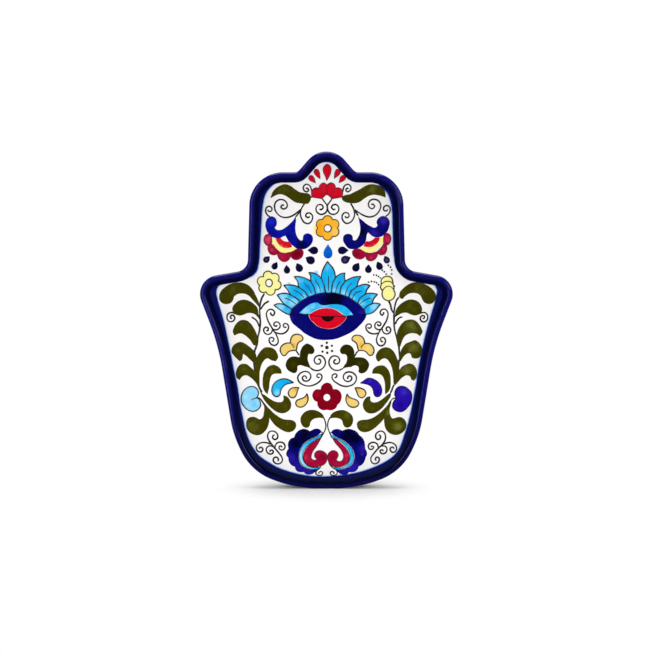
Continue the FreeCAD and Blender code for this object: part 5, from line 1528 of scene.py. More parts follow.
@dataclass
class Eye:
    """The eye in the palm: a cobalt almond with a turquoise lid, a red iris and a crown of leaves."""

    painter: Painter
    leaf_edge: float = 1.4
    vein_width: float = 1.3
    vein_lift: float = 0.16 * MM
    line_width: float = 1.2
    line_lift: float = 0.19 * MM
    corner_width: float = 1.4
    corner_lift: float = 0.26 * MM
    pupil_rise: float = 0.2 * MM

    def crown(self) -> None:
        """Eleven turquoise leaves, each with a black edge and a vein."""
        paint = self.painter
        leaves = {
            "top": [Corner(327.5, 261.6), (325, 265.8), (322.6, 270.8), (321.6, 274.6), Corner(321.3, 278.4),
                    (323.8, 284.4), Corner(325.6, 292.6), (328.4, 293.2), Corner(331.3, 292.6), (332.4, 284.4),
                    Corner(335.4, 277.4), (334.4, 272), (332.4, 267.6), (330.2, 265)],
            "left_1": [Corner(308.9, 272.6), (313.2, 273.2), (317.8, 275.2), Corner(321.2, 278.4),
                       (323.8, 284.4), Corner(325.4, 292.8), (320.6, 293.4), Corner(315.6, 294.6),
                       (313.8, 286.8), (310.7, 280.8), (310.8, 276)],
            "left_2": [Corner(294.2, 276.7), (299.2, 276.7), (305, 278.2), Corner(310.5, 281.2),
                       (313.6, 286.6), Corner(315.7, 294.4), Corner(308.6, 297), (304.4, 291.2),
                       (298.8, 286.8), (297.6, 281.4)],
            "left_3": [Corner(283.8, 285.3), (290, 285), (295, 285.8), Corner(299.6, 288), (304.6, 291.4),
                       Corner(308.4, 296.8), Corner(300.4, 301.8), (296.4, 298.2), (290.6, 294.6),
                       (287.4, 289.6)],
            "left_4": [Corner(277.3, 295), (281.2, 293.7), (286.4, 293.5), (291.4, 295.4), (296.4, 298.6),
                       Corner(300.4, 301.8), Corner(291.6, 309.2), (288.4, 306.8), (284.2, 304.2),
                       (280.4, 299.4)],
            "left_5": [Corner(274, 305.2), (278.4, 303.8), (283.4, 304.6), (287.6, 306.8),
                       Corner(291.6, 309.2), Corner(290.2, 314.9), (286, 313.4), (281, 310.4), (277, 307.6)],
            "right_1": [Corner(345, 273.1), (339.8, 274.4), Corner(335.6, 277.6), (332.6, 283.6),
                        Corner(331.5, 292.6), (335.4, 293.2), Corner(339.7, 294.4), (341.2, 286.6),
                        (344.9, 281.2), (344.3, 276.6)],
            "right_2": [Corner(360.8, 276.6), (355.6, 277), (350, 278.8), Corner(345.2, 281.2), (341.3, 286.8),
                        Corner(339.8, 294.2), Corner(348.6, 297.4), (350.8, 291.4), (356.6, 286.6),
                        (358.3, 281)],
            "right_3": [Corner(369.9, 285.7), (366, 284.5), (362, 284.9), Corner(357, 286.8), (351.2, 291.4),
                        Corner(348.8, 297.4), Corner(357.6, 303.6), (359.8, 298.4), (365.2, 294.2),
                        (366.8, 289.8)],
            "right_4": [Corner(377.4, 294.4), (373.2, 293.5), (369, 293.3), Corner(365, 294.3), (360, 298.4),
                        Corner(357.8, 303.4), Corner(363.6, 309.2), (367.6, 305.8), (371.4, 304.2),
                        (373.6, 299)],
            "right_5": [Corner(380.4, 304.2), (377.4, 303.4), (373.6, 303.4), (369.4, 304.8),
                        Corner(364.2, 308.8), Corner(365.6, 314.4), (369.2, 313.9), (373.2, 312.2),
                        (377.2, 308.2)]}
        shades = {"top": [Shade(328, 268, 6, -0.3), Shade(328, 290, 5, -0.5), Shade(324, 280, 5, 0.3)],
                  "left_1": [Shade(316, 278, 5, 0.3), Shade(320, 291, 5, -0.7), Shade(312, 279, 3, -0.5)],
                  "left_2": [Shade(298, 280, 5, -0.5), Shade(308, 287, 6, 0.6), Shade(311, 294, 4, -0.7)],
                  "left_3": [Shade(287, 288, 6, -0.6), Shade(297, 291, 6, 0.4), Shade(304, 297, 4, -0.7)],
                  "left_4": [Shade(282, 298, 8, -0.9), Shade(293, 303, 8, -0.8), Shade(291, 297, 4, 0.3)],
                  "left_5": [Shade(281, 307, 9, -0.9), Shade(286, 307, 4, 0.5)],
                  "right_1": [Shade(340, 279, 5, 0.3), Shade(335, 291, 5, -0.7)],
                  "right_2": [Shade(353, 281, 5, 0.3), Shade(344, 293, 5, -0.8)],
                  "right_3": [Shade(358, 290, 7, 0.4), Shade(353, 298, 4, -0.6), Shade(366, 287, 3, -0.5)],
                  "right_4": [Shade(374, 296, 5, -0.6), Shade(361, 303, 5, -0.7)],
                  "right_5": [Shade(375, 307, 8, -0.7), Shade(367, 308, 3, 0.3)]}
        for name, outline in leaves.items():
            paint.pool(f"eye_crown_{name}", outline, TURQUOISE, "eye_crown", shades[name], edge=LINER,
                       edge_width=self.leaf_edge)
        paint.lines("eye_crown_veins", [
            [(328.2, 275.2), (328.5, 282), (328.4, 291.4)], [(315, 280), (318.6, 285.4), (320.8, 292)],
            [(303.2, 282.4), (308.6, 287.8), (312, 294.2)], [(292.8, 289.8), (299.2, 292.8), (304.2, 298)],
            [(284.4, 297.8), (291, 300.6), (296.2, 304.4)], [(339.9, 281.2), (337, 286.8), (335.6, 292.8)],
            [(352, 282.6), (347.8, 287.8), (345, 295.4)], [(362.4, 290.8), (355.6, 293.2), (351.8, 299.4)],
            [(370.8, 297.8), (364.2, 300.6), (359.6, 304.2)]], LINER,
            self.vein_width, lift=self.vein_lift)

    def almond(self) -> None:
        """The cobalt rim of the eye round its lid and iris."""
        paint = self.painter
        opening = [Corner(299.2, 313), (303, 309.5), (307, 306), (312, 303.4), (317.8, 303), (320.6, 304.8),
                   (324.4, 305.4), (331, 304.6), (338, 304.5), (344.2, 306.2), (349.6, 310.6),
                   Corner(353.4, 315.2), (349.8, 316), Corner(347, 316.6), (345.6, 319.6), (342, 323.4),
                   (337, 327), (331, 329), (325, 328.7), (319, 327), (313, 322.5), (309.7, 318.2),
                   Corner(308.5, 314.4), (303.6, 314)]
        rim = [Corner(289.3, 315.2), (291, 309.2), (295, 304.6), (300, 300.6), (306, 297), (312, 294.6),
               (320, 292.7), (328, 292.2), (335, 292.8), (341, 294.1), (348, 297), (355, 301), (361, 305.5),
               (365.2, 310.2), Corner(366.8, 314.4), (365.6, 318), (363, 322), (359, 326.2), (355, 330),
               (349, 333.6), (342, 336.8), (335, 339.2), (328, 340), (320, 339.9), (314, 338.4), (309, 336),
               (304, 333), (300, 329.6), (296, 326.4), (292.6, 323.4), (290.4, 319.4)]
        paint.pool("eye_rim", rim, COBALT, "eye_rim",
                   [Shade(334, 299, 12, 1.4), Shade(322, 300, 5, 0.5), Shade(300, 322, 10, 0.1),
                    Shade(362, 312, 4, -0.7), Shade(292, 318, 4, -0.6), Shade(312, 321, 5, 0.5),
                    Shade(350, 326, 9, 0.3), Shade(296, 309, 6, -0.25), Shade(328, 334, 12, 0.3)],
                   holes=[opening])
        lid = [Corner(299.2, 313), (303, 309.5), (307, 306), (312, 303.3), (317.8, 302.8), (320.6, 304.6),
               (324.4, 305.2), (331, 304.4), (338, 304.3), (344.4, 306), (349.8, 310.4), Corner(353.4, 315.2),
               (349, 315.8), (345.4, 315.9), (341.6, 313.2), (337.2, 310.2), (331, 308.2), (325, 307.9),
               (318, 309.2), (312, 312.2), Corner(308.6, 314.1), (303.4, 313.9)]
        paint.pool("eye_lid", lid, TURQUOISE, "eye_lid",
                   [Shade(305, 310, 8, -0.9), Shade(314, 306, 5, -0.4), Shade(324, 306, 6, -0.5),
                    Shade(351, 314, 3, -0.8)])
        iris = [Corner(308.9, 314.4), (312.4, 312.4), (318, 309.6), (325, 308.2), (331, 308.5), (337, 310.5),
                (341.2, 313.6), Corner(346.8, 316.6), (345.5, 319.5), (341.9, 323.3), (336.9, 326.8),
                (331, 328.8), (325, 328.6), (319, 326.8), (313.1, 322.3), (309.9, 318.3)]
        paint.pool("eye_iris", iris, RED, "eye_iris", [Shade(328, 326, 8, -0.1)])
        pupil = [Corner(320.6, 316), (322.4, 319.4), (325, 321.3), (328, 321.9), (331, 321.2), (333.4, 319.2),
                 Corner(334.9, 316), (328, 315.7)]
        paint.pool("eye_pupil", pupil, BLACK, "eye_pupil", raised=self.pupil_rise)
        lashes = [(308.9, 314.4), (313, 315.7), (320, 316.3), (328, 316.3), (336, 316.2), (342, 316.5),
                  (346.6, 316.7)]
        paint.lines("eye_line", [lashes], WINE_LINER, self.line_width, lift=self.line_lift)
        corners = [[(289.8, 315), (296, 315.3), (303, 314.9), (308.9, 314.5)],
                   [(346.6, 316.5), (352, 315.9), (358, 315.3), (366, 314.7)]]
        paint.lines("eye_corners", corners, NAVY, self.corner_width, lift=self.corner_lift)

    def make(self) -> None:
        """Lay the pools and draw the lines."""
        self.crown()
        self.almond()
        self.painter.draw_edges("eye_edges")


@dataclass
class Palm:
    """Trefoils, sprays, crescents, drops, rosette and scrolls under the eye."""

    painter: Painter
    gold_edge: float = 1.4
    stroke_width: float = 1.1
    stroke_lift: float = 0.17 * MM
    turquoise_edge: float = 1.3
    violet_edge: float = 1.0
    seam_width: float = 0.6
    seam_lift: float = 0.14 * MM
    scroll_width: float = 1.6

    def trefoils(self) -> None:
        """Gold trefoils with a dark edge and a brush stroke in each."""
        paint = self.painter
        left = [Corner(290.5, 343.2), (290.7, 340), (291.5, 337.5), (293.2, 335.4), (296, 334.5), (299, 334.6),
                (301.5, 336), (302.9, 338), (302.5, 340), (300.6, 341.3), (298.5, 342.5), (297.3, 344.5),
                (296.8, 347), Corner(296.2, 350.4), (292.2, 350.6), (289.2, 351.4), (287.2, 353), (286, 354.7),
                (284.4, 355.8), (282.7, 355.2), (281.2, 353.3), (280.3, 350.7), (280.6, 348), (282.5, 345.3),
                (285.5, 343.6), (288, 343.1)]
        right = [Corner(364.5, 343.8), (364.3, 341), (363, 338), (360.5, 336), (357, 335.3), (354, 336),
                 (352.2, 338), (352.3, 340), (354, 341.4), (356, 342.7), (357.2, 345), (357.8, 347.8),
                 Corner(358.5, 350.8), (361, 350.4), (364, 350.8), (366.5, 352.2), (368.3, 354.4),
                 (370, 355.5), (372, 355), (373.6, 352.8), (373.9, 349.6), (372.5, 346.5), (370, 344.1),
                 (367, 343.4)]
        paint.pool("gold_trefoil_left", left, GOLD, "gold_trefoils",
                   [Shade(293.5, 345.5, 4, 0.7), Shade(297, 338, 5, -0.3)], edge=LINER,
                   edge_width=self.gold_edge)
        paint.pool("gold_trefoil_right", right, GOLD, "gold_trefoils",
                   [Shade(361.5, 346, 4, 0.7), Shade(368, 350, 5, -0.3)], edge=LINER,
                   edge_width=self.gold_edge)
        paint.lines("trefoil_strokes", [
            [(290.8, 343.4), (293, 345.8), (294.2, 348.6)], [(364.2, 344), (362, 346.2), (360.8, 348.8)]],
            BROWN_LINER, self.stroke_width, lift=self.stroke_lift)

    def sprays(self) -> None:
        """Dark olive sprays that leaf out from the trefoils' stalks."""
        paint = self.painter
        left = [Corner(301.6, 349.2), (302.6, 347.2), (304.2, 345.6), (307, 344), (309.4, 344.8),
                (311.7, 346.1), (313.5, 348.5), (314.1, 351), (313, 353.3), (310.5, 353.8),
                Corner(308.5, 353.5), (307.7, 355.4), (307.3, 358), (307.5, 360.6), (308.4, 363.3),
                (309.5, 366), Corner(310.6, 368.2), (307, 366.6), (304.7, 366.2), (302.3, 365.2), (300, 364.8),
                (298, 365.3), (296.9, 367.2), (297, 369.5), (296.4, 371.5), (294.7, 372.8), (292.9, 372.7),
                (291, 371.8), (288.6, 370.4), (287, 368.4), (286, 365.5), (286.5, 362.5), (288.1, 359.5),
                (290.7, 357.5), (294, 356.9), (297, 357.3), Corner(299.5, 357.8), (300.3, 355.2),
                (300.4, 352.4)]
        right = [Corner(342, 353.8), (340.6, 352), (340.4, 350), (341.6, 347.5), (344, 345.5), (347, 345),
                 (350, 345.8), (352.5, 348), (353.8, 351), (354, 355), Corner(354.9, 358), (358, 357.7),
                 (361.5, 357.8), (365, 359), (367.5, 361.5), (368.8, 364.5), (368.2, 367.4), (367, 370),
                 (365, 372), (362.4, 373), (360, 372.8), (358.9, 371.5), (359.1, 369.7), (359.2, 368),
                 (358, 366.1), (355.6, 365.1), (353.1, 365.5), (351, 366.8), (348.5, 366.9), (346, 367.3),
                 Corner(342.9, 368.6), (344.5, 366), (346, 364), (347, 361.5), (347.5, 358.4), (347, 355.5),
                 Corner(345.5, 354)]
        paint.pool("olive_spray_left", left, DARK_OLIVE, "olive_sprays", [Shade(293, 364, 6, -0.35)])
        paint.pool("olive_spray_right", right, DARK_OLIVE, "olive_sprays", [Shade(361, 364, 6, -0.35)])

    def crescents(self) -> None:
        """Turquoise crescent on the left and violet blue one on the right."""
        paint = self.painter
        left = [Corner(293.5, 382.7), (290.5, 380.9), (287, 379.4), (283.5, 379), (279.5, 379.8), (276, 381.8),
                (273.5, 384.5), (272.2, 387.7), (271.9, 391.6), (273, 394.6), (274.8, 396.3), (276.6, 396.9),
                (278.6, 396.2), (280, 394.3), (280.4, 392), (280.9, 390), (282.1, 387.8), (284.2, 385.5),
                (287, 384), (290, 383.2)]
        right = [Corner(360.3, 383.1), (363, 381.6), (365.3, 379.9), (367.3, 378.7), (370, 378.3),
                 (373.5, 379.3), (377, 381.3), (380, 384.5), (381.5, 388), (381.8, 391.5), (381, 394.4),
                 (379.3, 396.4), (377, 396.9), (375.2, 396.2), (373.9, 394), (373.4, 391), (372.2, 388),
                 (370, 385.6), (366.5, 384.1), (363, 383.4)]
        paint.pool("turquoise_crescent", left, TURQUOISE, "turquoise_crescent",
                   [Shade(277, 393, 5, -0.8), Shade(284, 381, 5, 0.2)], edge=LINER,
                   edge_width=self.turquoise_edge)
        paint.pool("blue_crescent", right, VIOLET, "blue_crescent",
                   [Shade(370, 381, 4, -0.4), Shade(377, 392, 5, 0.6)], edge=NAVY,
                   edge_width=self.violet_edge)

    def gold_drops(self) -> None:
        """Four gold drops that swing round the crimson rosette."""
        paint = self.painter
        drops = {
            "left_outer": [Corner(298.8, 387.8), (295, 387.7), (291.5, 388.5), (289.3, 390.5), (288.3, 393),
                           (289, 395.6), (290.8, 397.3), (293, 397.8), (295.2, 396.6), (296.5, 394),
                           (297.5, 390.7)],
            "left_inner": [Corner(306.9, 393.8), (305.6, 396.2), (302.9, 398.3), (299.6, 399.4),
                           (296.8, 400.8), (295.8, 403.1), (296.5, 405.6), (298.4, 406.9), (301.2, 407.2),
                           (304, 406.1), (306.2, 403.9), (307.6, 401.1), (307.9, 397.6)],
            "right_outer": [Corner(355.2, 388.1), (359, 388), (362.3, 388.9), (364.8, 390.6), (365.9, 393.2),
                            (364.9, 396.1), (362.3, 397.8), (359.6, 397.2), (357.9, 395), (356.8, 391.7)],
            "right_inner": [Corner(347.2, 394.2), (348.4, 396.5), (351.2, 398.3), (354.6, 399.4),
                            (357.3, 400.8), (358.7, 403.3), (357.8, 405.8), (355.1, 407.2), (351.8, 407.2),
                            (348.7, 405.6), (346.8, 402.8), (345.9, 399.4), (346.4, 396.4)]}
        tips = {"left_outer": (296, 389), "left_inner": (306, 397), "right_outer": (358, 389),
                "right_inner": (347, 398)}
        for name, outline in drops.items():
            paint.pool(f"gold_drop_{name}", outline, GOLD, "gold_drops", [Shade(*tips[name], 4, 0.8)],
                       edge=LINER, edge_width=self.gold_edge)

    def rosette(self) -> None:
        """Crimson rosette of five petals round a white eye."""
        paint = self.painter
        outline = [Corner(320.6, 389.6), (321.2, 386.8), (323.6, 384), (327.2, 382.7), (330.6, 383.9),
                   (332.6, 387), Corner(333.2, 389.3), (336.4, 389.3), (339.6, 391.2), (341.5, 394.8),
                   (341.4, 399), (340, 402.6), Corner(337.3, 405.2), (336.4, 407.6), (334, 409.6),
                   (330.7, 410.5), Corner(326.9, 410), (323.2, 410.4), (319.8, 409), (317.7, 406),
                   Corner(317.2, 402), (314.6, 400.8), (312.7, 398), (312.3, 394.8), (313.6, 391.4),
                   (316.6, 389.4)]
        paint.pool("crimson_rosette", outline, WINE, "crimson_rosette",
                   [Shade(317, 395, 5, -0.35), Shade(333, 406, 5, -0.2), Shade(327, 386, 5, 0.2)],
                   holes=[ring_outline((326.8, 397.6), 3.3, 3.4)])
        paint.lines("crimson_rosette_seams", [
            [(320.8, 389.8), (322.4, 392.2), (324.4, 394.6)], [(333.2, 389.4), (331.4, 392.2), (329.6, 394.4)],
            [(337.2, 405), (334, 402.4), (330.6, 400)], [(326.9, 409.8), (326.9, 405.6), (326.9, 401.8)],
            [(317.4, 402), (320.4, 400.8), (323.4, 399.2)]], WINE_LINER, self.seam_width,
            lift=self.seam_lift)

    def scrolls(self) -> None:
        """Liner spirals beside and under the eye, the stalks and the dots."""
        paint = self.painter
        paint.lines("palm_scrolls", [
            [(270.6, 314.2), (272.8, 315.6), (274.6, 312.8), (272.2, 309.6), (268.4, 310), (266.4, 313.6),
             (267, 318), (269, 323), (271.6, 327.4), (273.8, 331.2), (275.7, 333.4), (276.9, 336.4),
             (278.2, 340.2), (277.6, 343.6), (275.2, 345.4), (271.8, 344.8), (269.3, 341.6), (269.4, 338.6),
             (271.6, 337.5), (273.8, 338.8), (273.4, 341)],
            [(272.4, 329.3), (275.4, 329.9), (278.4, 329), (280.1, 326.4), (279.4, 323.6), (277, 322),
             (274.4, 322.9), (273.9, 325.3), (275.8, 326.4)],
            [(272.4, 329.4), (271.8, 332), (269.8, 334), (266.6, 334.3), (264.2, 332.4), (263.8, 329),
             (265.9, 327.2), (268.2, 328.2), (268, 330.4)],
            [(274.8, 332.2), (277.6, 333.3), (281, 333.9), (284.6, 333), (287.6, 330.2), (288.6, 327),
             (286.9, 324), (284.2, 323.8), (283.2, 326), (284.8, 327.6)],
            [(383.8, 313.4), (382, 315.4), (380.2, 312.8), (381.8, 309.8), (385.4, 309.4), (388, 313.2),
             (387.4, 318), (386.2, 321.4), (384.4, 324.4), (382.2, 327.8), (380.2, 330.4), (378.8, 333.2),
             (377.3, 336.4), (376.5, 339.8), (377, 342.8), (378.8, 345.2), (381.4, 345.9), (384, 344.6),
             (385.4, 341.8), (384.9, 338.8), (382.6, 337.4), (380.6, 338.8), (381.2, 341.4)],
            [(381, 329.7), (377.6, 329.5), (375.3, 327.8), (374.9, 324.8), (376.4, 322.5), (379.2, 322),
             (381, 324), (379.8, 325.8), (378.3, 325.6)],
            [(382.4, 328.2), (382.6, 331), (384.6, 333.4), (387.4, 334), (390, 332.4), (390.6, 329.2),
             (388.6, 327), (386.3, 328), (386.7, 330.6)],
            [(379.2, 332.9), (376, 333.8), (372.2, 333.8), (368.6, 332.2), (366.2, 329), (366.1, 326),
             (368.3, 324.1), (370.9, 324.7), (371.2, 327.2), (369.5, 328.4)],
            [(236, 314.2), (233.8, 313), (231, 312.6), (227.8, 314.2), (226.9, 317.6), (228, 320.8),
             (230.9, 321.8), (233.8, 320.5), (234.7, 317.8), (233.2, 315.4), (230.9, 315.6), (230.4, 317.8)],
            [(418.2, 313.9), (421.4, 312.9), (424.7, 312.6), (427.4, 314.8), (427.8, 318), (426.4, 321),
             (423.6, 322), (420.9, 320.6), (420.4, 317.8), (422, 315.7), (424.4, 316.2), (424.3, 318.2)],
            [(296.2, 350.6), (297.4, 352.8), (299.4, 355.4)], [(358.3, 351), (356.2, 353.3), (354.6, 356.4)],
            [(310.5, 368), (313, 369.8), (316.2, 370.7), (319.8, 370.2), (322.8, 368.3), (324.8, 365.6),
             (325.4, 362.2), (324.3, 358.6), (321.8, 356.1), (318.2, 355.7), (315.2, 357.5), (314.2, 360.6),
             (315.8, 363.6), (318.6, 364.2), (320.7, 362.2), (320.2, 359.9)],
            [(343, 368.5), (339.6, 370.2), (335.6, 370.4), (332, 368.7), (329.6, 365.5), (329, 361.6),
             (330.2, 358.5), (332.6, 356.4), (335.8, 356.1), (338.7, 357.8), (339.7, 360.8), (338.2, 363.4),
             (335.6, 364), (333.8, 362.4), (334.2, 360.6)],
            [(306.4, 377.4), (304.6, 375.9), (302.5, 377.2), (302.8, 379.7), (305.4, 381.3), (308.6, 380.5),
             (310.6, 377.8), (310.2, 374.2), (307.4, 371.8), (303.6, 371.8), (299.8, 373.8), (297.8, 377.3),
             (298.5, 381.1), (301.2, 383.9), (305, 385.6), (309.5, 386.1), (314, 385), (318, 382.9),
             (321, 379.8), (322, 376.6), (320.4, 374.2), (317.9, 374.2), (316.8, 376.2), (318, 377.6)],
            [(347.6, 377.5), (349.4, 376), (351.6, 377.3), (351.4, 379.8), (348.8, 381.6), (345.6, 381),
             (343.4, 378.2), (343.9, 374.8), (346.6, 372.5), (350.4, 372.1), (354, 373.7), (356.2, 376.8),
             (356, 380.8), (353.6, 384.2), (349.8, 386), (345.4, 386.5), (341, 385.5), (337, 383.3),
             (333.8, 380.8), (332, 377.8), (332.8, 374.9), (335.2, 374), (337, 375.4), (336.4, 377.2)]],
            width=self.scroll_width)
        paint.dots("palm_dots", [(326.9, 347.6, 1.9)])
        paint.dots("palm_small_dots", [(326.8, 342.9, 1.3), (321.8, 345.9, 1.3), (331.9, 345.9, 1.3),
                                       (322.5, 351.7, 1.3), (327.2, 352.9, 1.3), (332, 351.1, 1.3)])

    def make(self) -> None:
        """Lay the pools and draw the lines."""
        self.trefoils()
        self.sprays()
        self.crescents()
        self.gold_drops()
        self.rosette()
        self.painter.draw_edges("palm_edges")
        self.scrolls()


@dataclass
class HeelFlower:
    """The twin-armed flower at the heel: cobalt scallops, turquoise bands and crimson paisleys under
    two arched leaves, with the corner scrolls beside it."""

    painter: Painter
    band_edge: float = 0.6
    paisley_edge: float = 1.0
    stem_width: float = 1.3
    scroll_width: float = 1.6

    def arch(self) -> None:
        """Two arched olive leaves and the stems that cross between them."""
        paint = self.painter
        left = [Corner(324.2, 418.4), (322.9, 415.4), (320.1, 412.8), (316.8, 411.1), (312.9, 410.3),
                (309, 410.6), (305.7, 411.9), (302.9, 414.4), (301, 417.6), (300.7, 421.1), (301.7, 424.2),
                (303.5, 426.7), (306.1, 427.7), (308.4, 427.1), (309.6, 425.4), (309.9, 423.1), (311.2, 420.8),
                (313.5, 418.9), (316.8, 417.9), (320.6, 417.7)]
        right = [Corner(330, 418.4), (330.7, 415.9), (332.4, 413.6), (335.2, 411.9), (339, 410.8),
                 (343.2, 410.5), (346.8, 411.7), (350.1, 413.9), (352.3, 416.7), (352.9, 420), (352.3, 423.5),
                 (350.6, 426.2), (347.8, 427.5), (344.8, 426.7), (343.3, 424.4), (342.7, 421.6), (341, 419.3),
                 (338.2, 418.1), (334.4, 417.7)]
        paint.pool("arch_leaf_left", left, OLIVE, "arch_leaves",
                   [Shade(305, 417, 6, -0.2), Shade(312, 414, 5, 0.4)])
        paint.pool("arch_leaf_right", right, OLIVE, "arch_leaves",
                   [Shade(346, 416, 6, -0.3), Shade(338, 414, 5, 0.4)])
        paint.lines("arch_stems", [
            [(323.4, 417), (325, 421.1), (325.9, 425.4), (325.4, 429.2), (324, 432.6), (322.2, 435.8),
             (320.4, 439), (318.6, 442)],
            [(330.4, 417), (328.4, 420.9), (327.6, 425), (328.2, 429), (329.8, 433.3), (331.8, 438.2)],
            [(321, 431.6), (323, 433.6)], [(331.4, 432.2), (330.2, 434)]], width=self.stem_width)

    def scallops(self) -> None:
        """The two cobalt arms with their scalloped outer edge."""
        paint = self.painter
        left = [Corner(321.7, 432), (320, 429.7), (317.3, 428.8), (314.1, 429.2), Corner(309.9, 431.4),
                (307.1, 429.7), (303.5, 429), (300, 430), (297, 432.1), (295, 434.7), Corner(294.1, 437.6),
                (291.2, 438.5), (288.8, 441.2), (287.8, 444.8), Corner(288.4, 448.9), (286.7, 451.5),
                (286.2, 454.9), Corner(288.3, 458.2), (288.8, 461.8), (291.2, 465.3), Corner(294.9, 467.2),
                (295.4, 469.6), (297.7, 471.8), (300.7, 472.5), Corner(303.6, 472.3), (305.6, 474.2),
                (308.8, 475), (312.4, 474.2), (314.6, 472.6), Corner(316.8, 470), (312.4, 469.9),
                (309.4, 469.4), (306.2, 468.2), (302.7, 466.3), (300.1, 462.9), (298.7, 458.8), (298.6, 455),
                (299.6, 451), (301.4, 447), (304.2, 443.5), (308.2, 440.6), (312.9, 438.2), (317.6, 435.9)]
        right = [Corner(331, 432.5), (332.5, 430.5), (335.3, 429.2), (338.8, 429.3), Corner(342.4, 430.9),
                 (345.9, 429.4), (349.4, 429), (353, 430), (357, 432.1), Corner(359.4, 435.4), (362, 437.4),
                 (364.1, 440.6), (365, 444.3), Corner(365.2, 448.8), (366.8, 451.6), (367.1, 454.8),
                 Corner(365.7, 457.8), (364.7, 461.2), (362.4, 464.7), Corner(358.6, 466.9), (357.9, 469),
                 (355.9, 471.3), (352.6, 472.5), Corner(349.2, 472.3), (347.5, 474.2), (344.1, 475.2),
                 (340.7, 474.4), (338.3, 472.5), Corner(336.3, 469.9), (339.4, 470), (343.5, 469.6),
                 (347.5, 468.1), (351.4, 465.3), (353.7, 461.2), (354.6, 456.6), (353.7, 452.3),
                 (351.7, 448.2), (348.7, 444.8), (345.2, 441.9), (341.2, 439.5), (337, 437.5), (333.5, 435.7)]
        paint.pool("scallop_left", left, COBALT, "flower_scallops",
                   [Shade(306, 435, 13, 0.9), Shade(295, 444, 9, 0.8), Shade(299, 469, 11, -0.7),
                    Shade(290, 457, 8, -0.8), Shade(309, 473, 7, -0.7)])
        paint.pool("scallop_right", right, COBALT, "flower_scallops",
                   [Shade(346, 435, 12, 0.9), Shade(357, 440, 9, 0.9), Shade(354, 469, 11, -0.9),
                    Shade(340, 431, 5, -0.5), Shade(363, 448, 8, -0.9), Shade(342, 473, 7, -0.7),
                    Shade(362.3, 454.7, 1.5, -1.6)])

    def bands(self) -> None:
        """The turquoise bands inside the scallops."""
        paint = self.painter
        left = [Corner(322.4, 433.6), (320, 434.9), (317.7, 436.4), (313, 438.7), (308.4, 441.1),
                (304.5, 443.9), (301.8, 447.2), (300, 451.2), (299, 455.2), (299.2, 458.8), (300.6, 462.6),
                (303.1, 466), (306.5, 467.8), (309.6, 469), (312.6, 469.5), Corner(318, 469.6), (318.7, 467.8),
                (315.3, 468), (311, 467.5), (307.4, 466.1), (304.5, 463), (302.7, 458.8), (302.4, 455.2),
                (303.6, 451), (306.3, 447.2), (309.9, 443.9), (314, 441), (317.5, 438.6), (320.4, 437.2)]
        right = [Corner(330.2, 434.2), (333.4, 436.3), (336.9, 438), (341, 439.9), (345, 442.4),
                 (348.3, 445.2), (351.3, 448.6), (353.2, 452.6), (354, 456.6), (353.2, 461), (351, 464.9),
                 (347.3, 467.7), (343.3, 469.2), (339.3, 469.5), Corner(335, 469.5), (334.2, 467.8),
                 (338.2, 468.1), (342.6, 467.7), (346.1, 465.6), (348.7, 462.5), (350.2, 458.8),
                 (350.2, 454.6), (348.7, 450.4), (346.1, 446.9), (342.6, 443.3), (338.9, 440.4),
                 (334.8, 438.6), (331.9, 437.9)]
        for side, outline, pale in (("left", left, [Shade(301, 458, 14, -1.1), Shade(309, 468, 7, -0.9)]),
                                    ("right", right, [Shade(344, 468, 7, -0.8), Shade(352, 460, 5, -0.3)])):
            paint.pool(f"flower_band_{side}", outline, TURQUOISE, "flower_bands", pale, edge=NAVY,
                       edge_width=self.band_edge)

    def paisleys(self) -> None:
        """The crimson hooks inside the bands."""
        paint = self.painter
        left = [Corner(320.6, 438.3), (318.2, 439.4), (315.3, 441.3), (311.8, 443.6), (308.2, 446.6),
                (305.4, 450.1), (303.7, 454.1), (303.5, 458.2), (304.9, 462.3), (307.8, 465.4), (311.3, 466.8),
                (315.3, 467.1), (319.4, 466.5), (322.5, 465.4), (325.2, 463.4), (326.5, 461), (327, 457.6),
                (326.2, 454.3), (323.5, 451.9), (320, 450.8), (316.7, 451.6), (314.8, 453.8), (314.8, 456.6),
                (316.2, 458.8), Corner(317.2, 460.2), (314.7, 460.5), (312.3, 459.9), (311.1, 458.1),
                (311.3, 455.2), (313, 451.2), (315.9, 447.1), (318.4, 442.8)]
        right = [Corner(332.9, 438.9), (335.3, 439.4), (338.8, 442), (342.3, 444.8), (345.7, 448.3),
                 (348, 451.9), (349.2, 455.4), (349.2, 458.9), (347.7, 462.3), (345.2, 464.8), (341.7, 466.6),
                 (337.6, 467.1), (333.5, 466.6), (330.7, 464.8), (328.9, 462.5), (328, 459.3), (327.8, 455.4),
                 (329.5, 452.5), (332.4, 450.9), (335.2, 451.1), (337.5, 453), (338.1, 455.8), (337.2, 458.1),
                 Corner(335.9, 459.9), (337.5, 461.4), (340, 461.9), (342.2, 460.8), (343.4, 458.1),
                 (343.4, 454.7), (341.7, 450.7), (338.7, 446.7), (335.2, 442.6)]
        paint.pool("paisley_left", left, CRIMSON, "flower_paisleys",
                   [Shade(306, 458, 4, -0.3), Shade(309, 448, 5, 0.2), Shade(322, 457, 7, 0.6)],
                   edge=WINE_LINER, edge_width=self.paisley_edge)
        paint.pool("paisley_right", right, CRIMSON, "flower_paisleys",
                   [Shade(347, 455, 4, -0.3), Shade(341, 446, 5, 0.2), Shade(332, 457, 7, 0.5)],
                   edge=WINE_LINER, edge_width=self.paisley_edge)

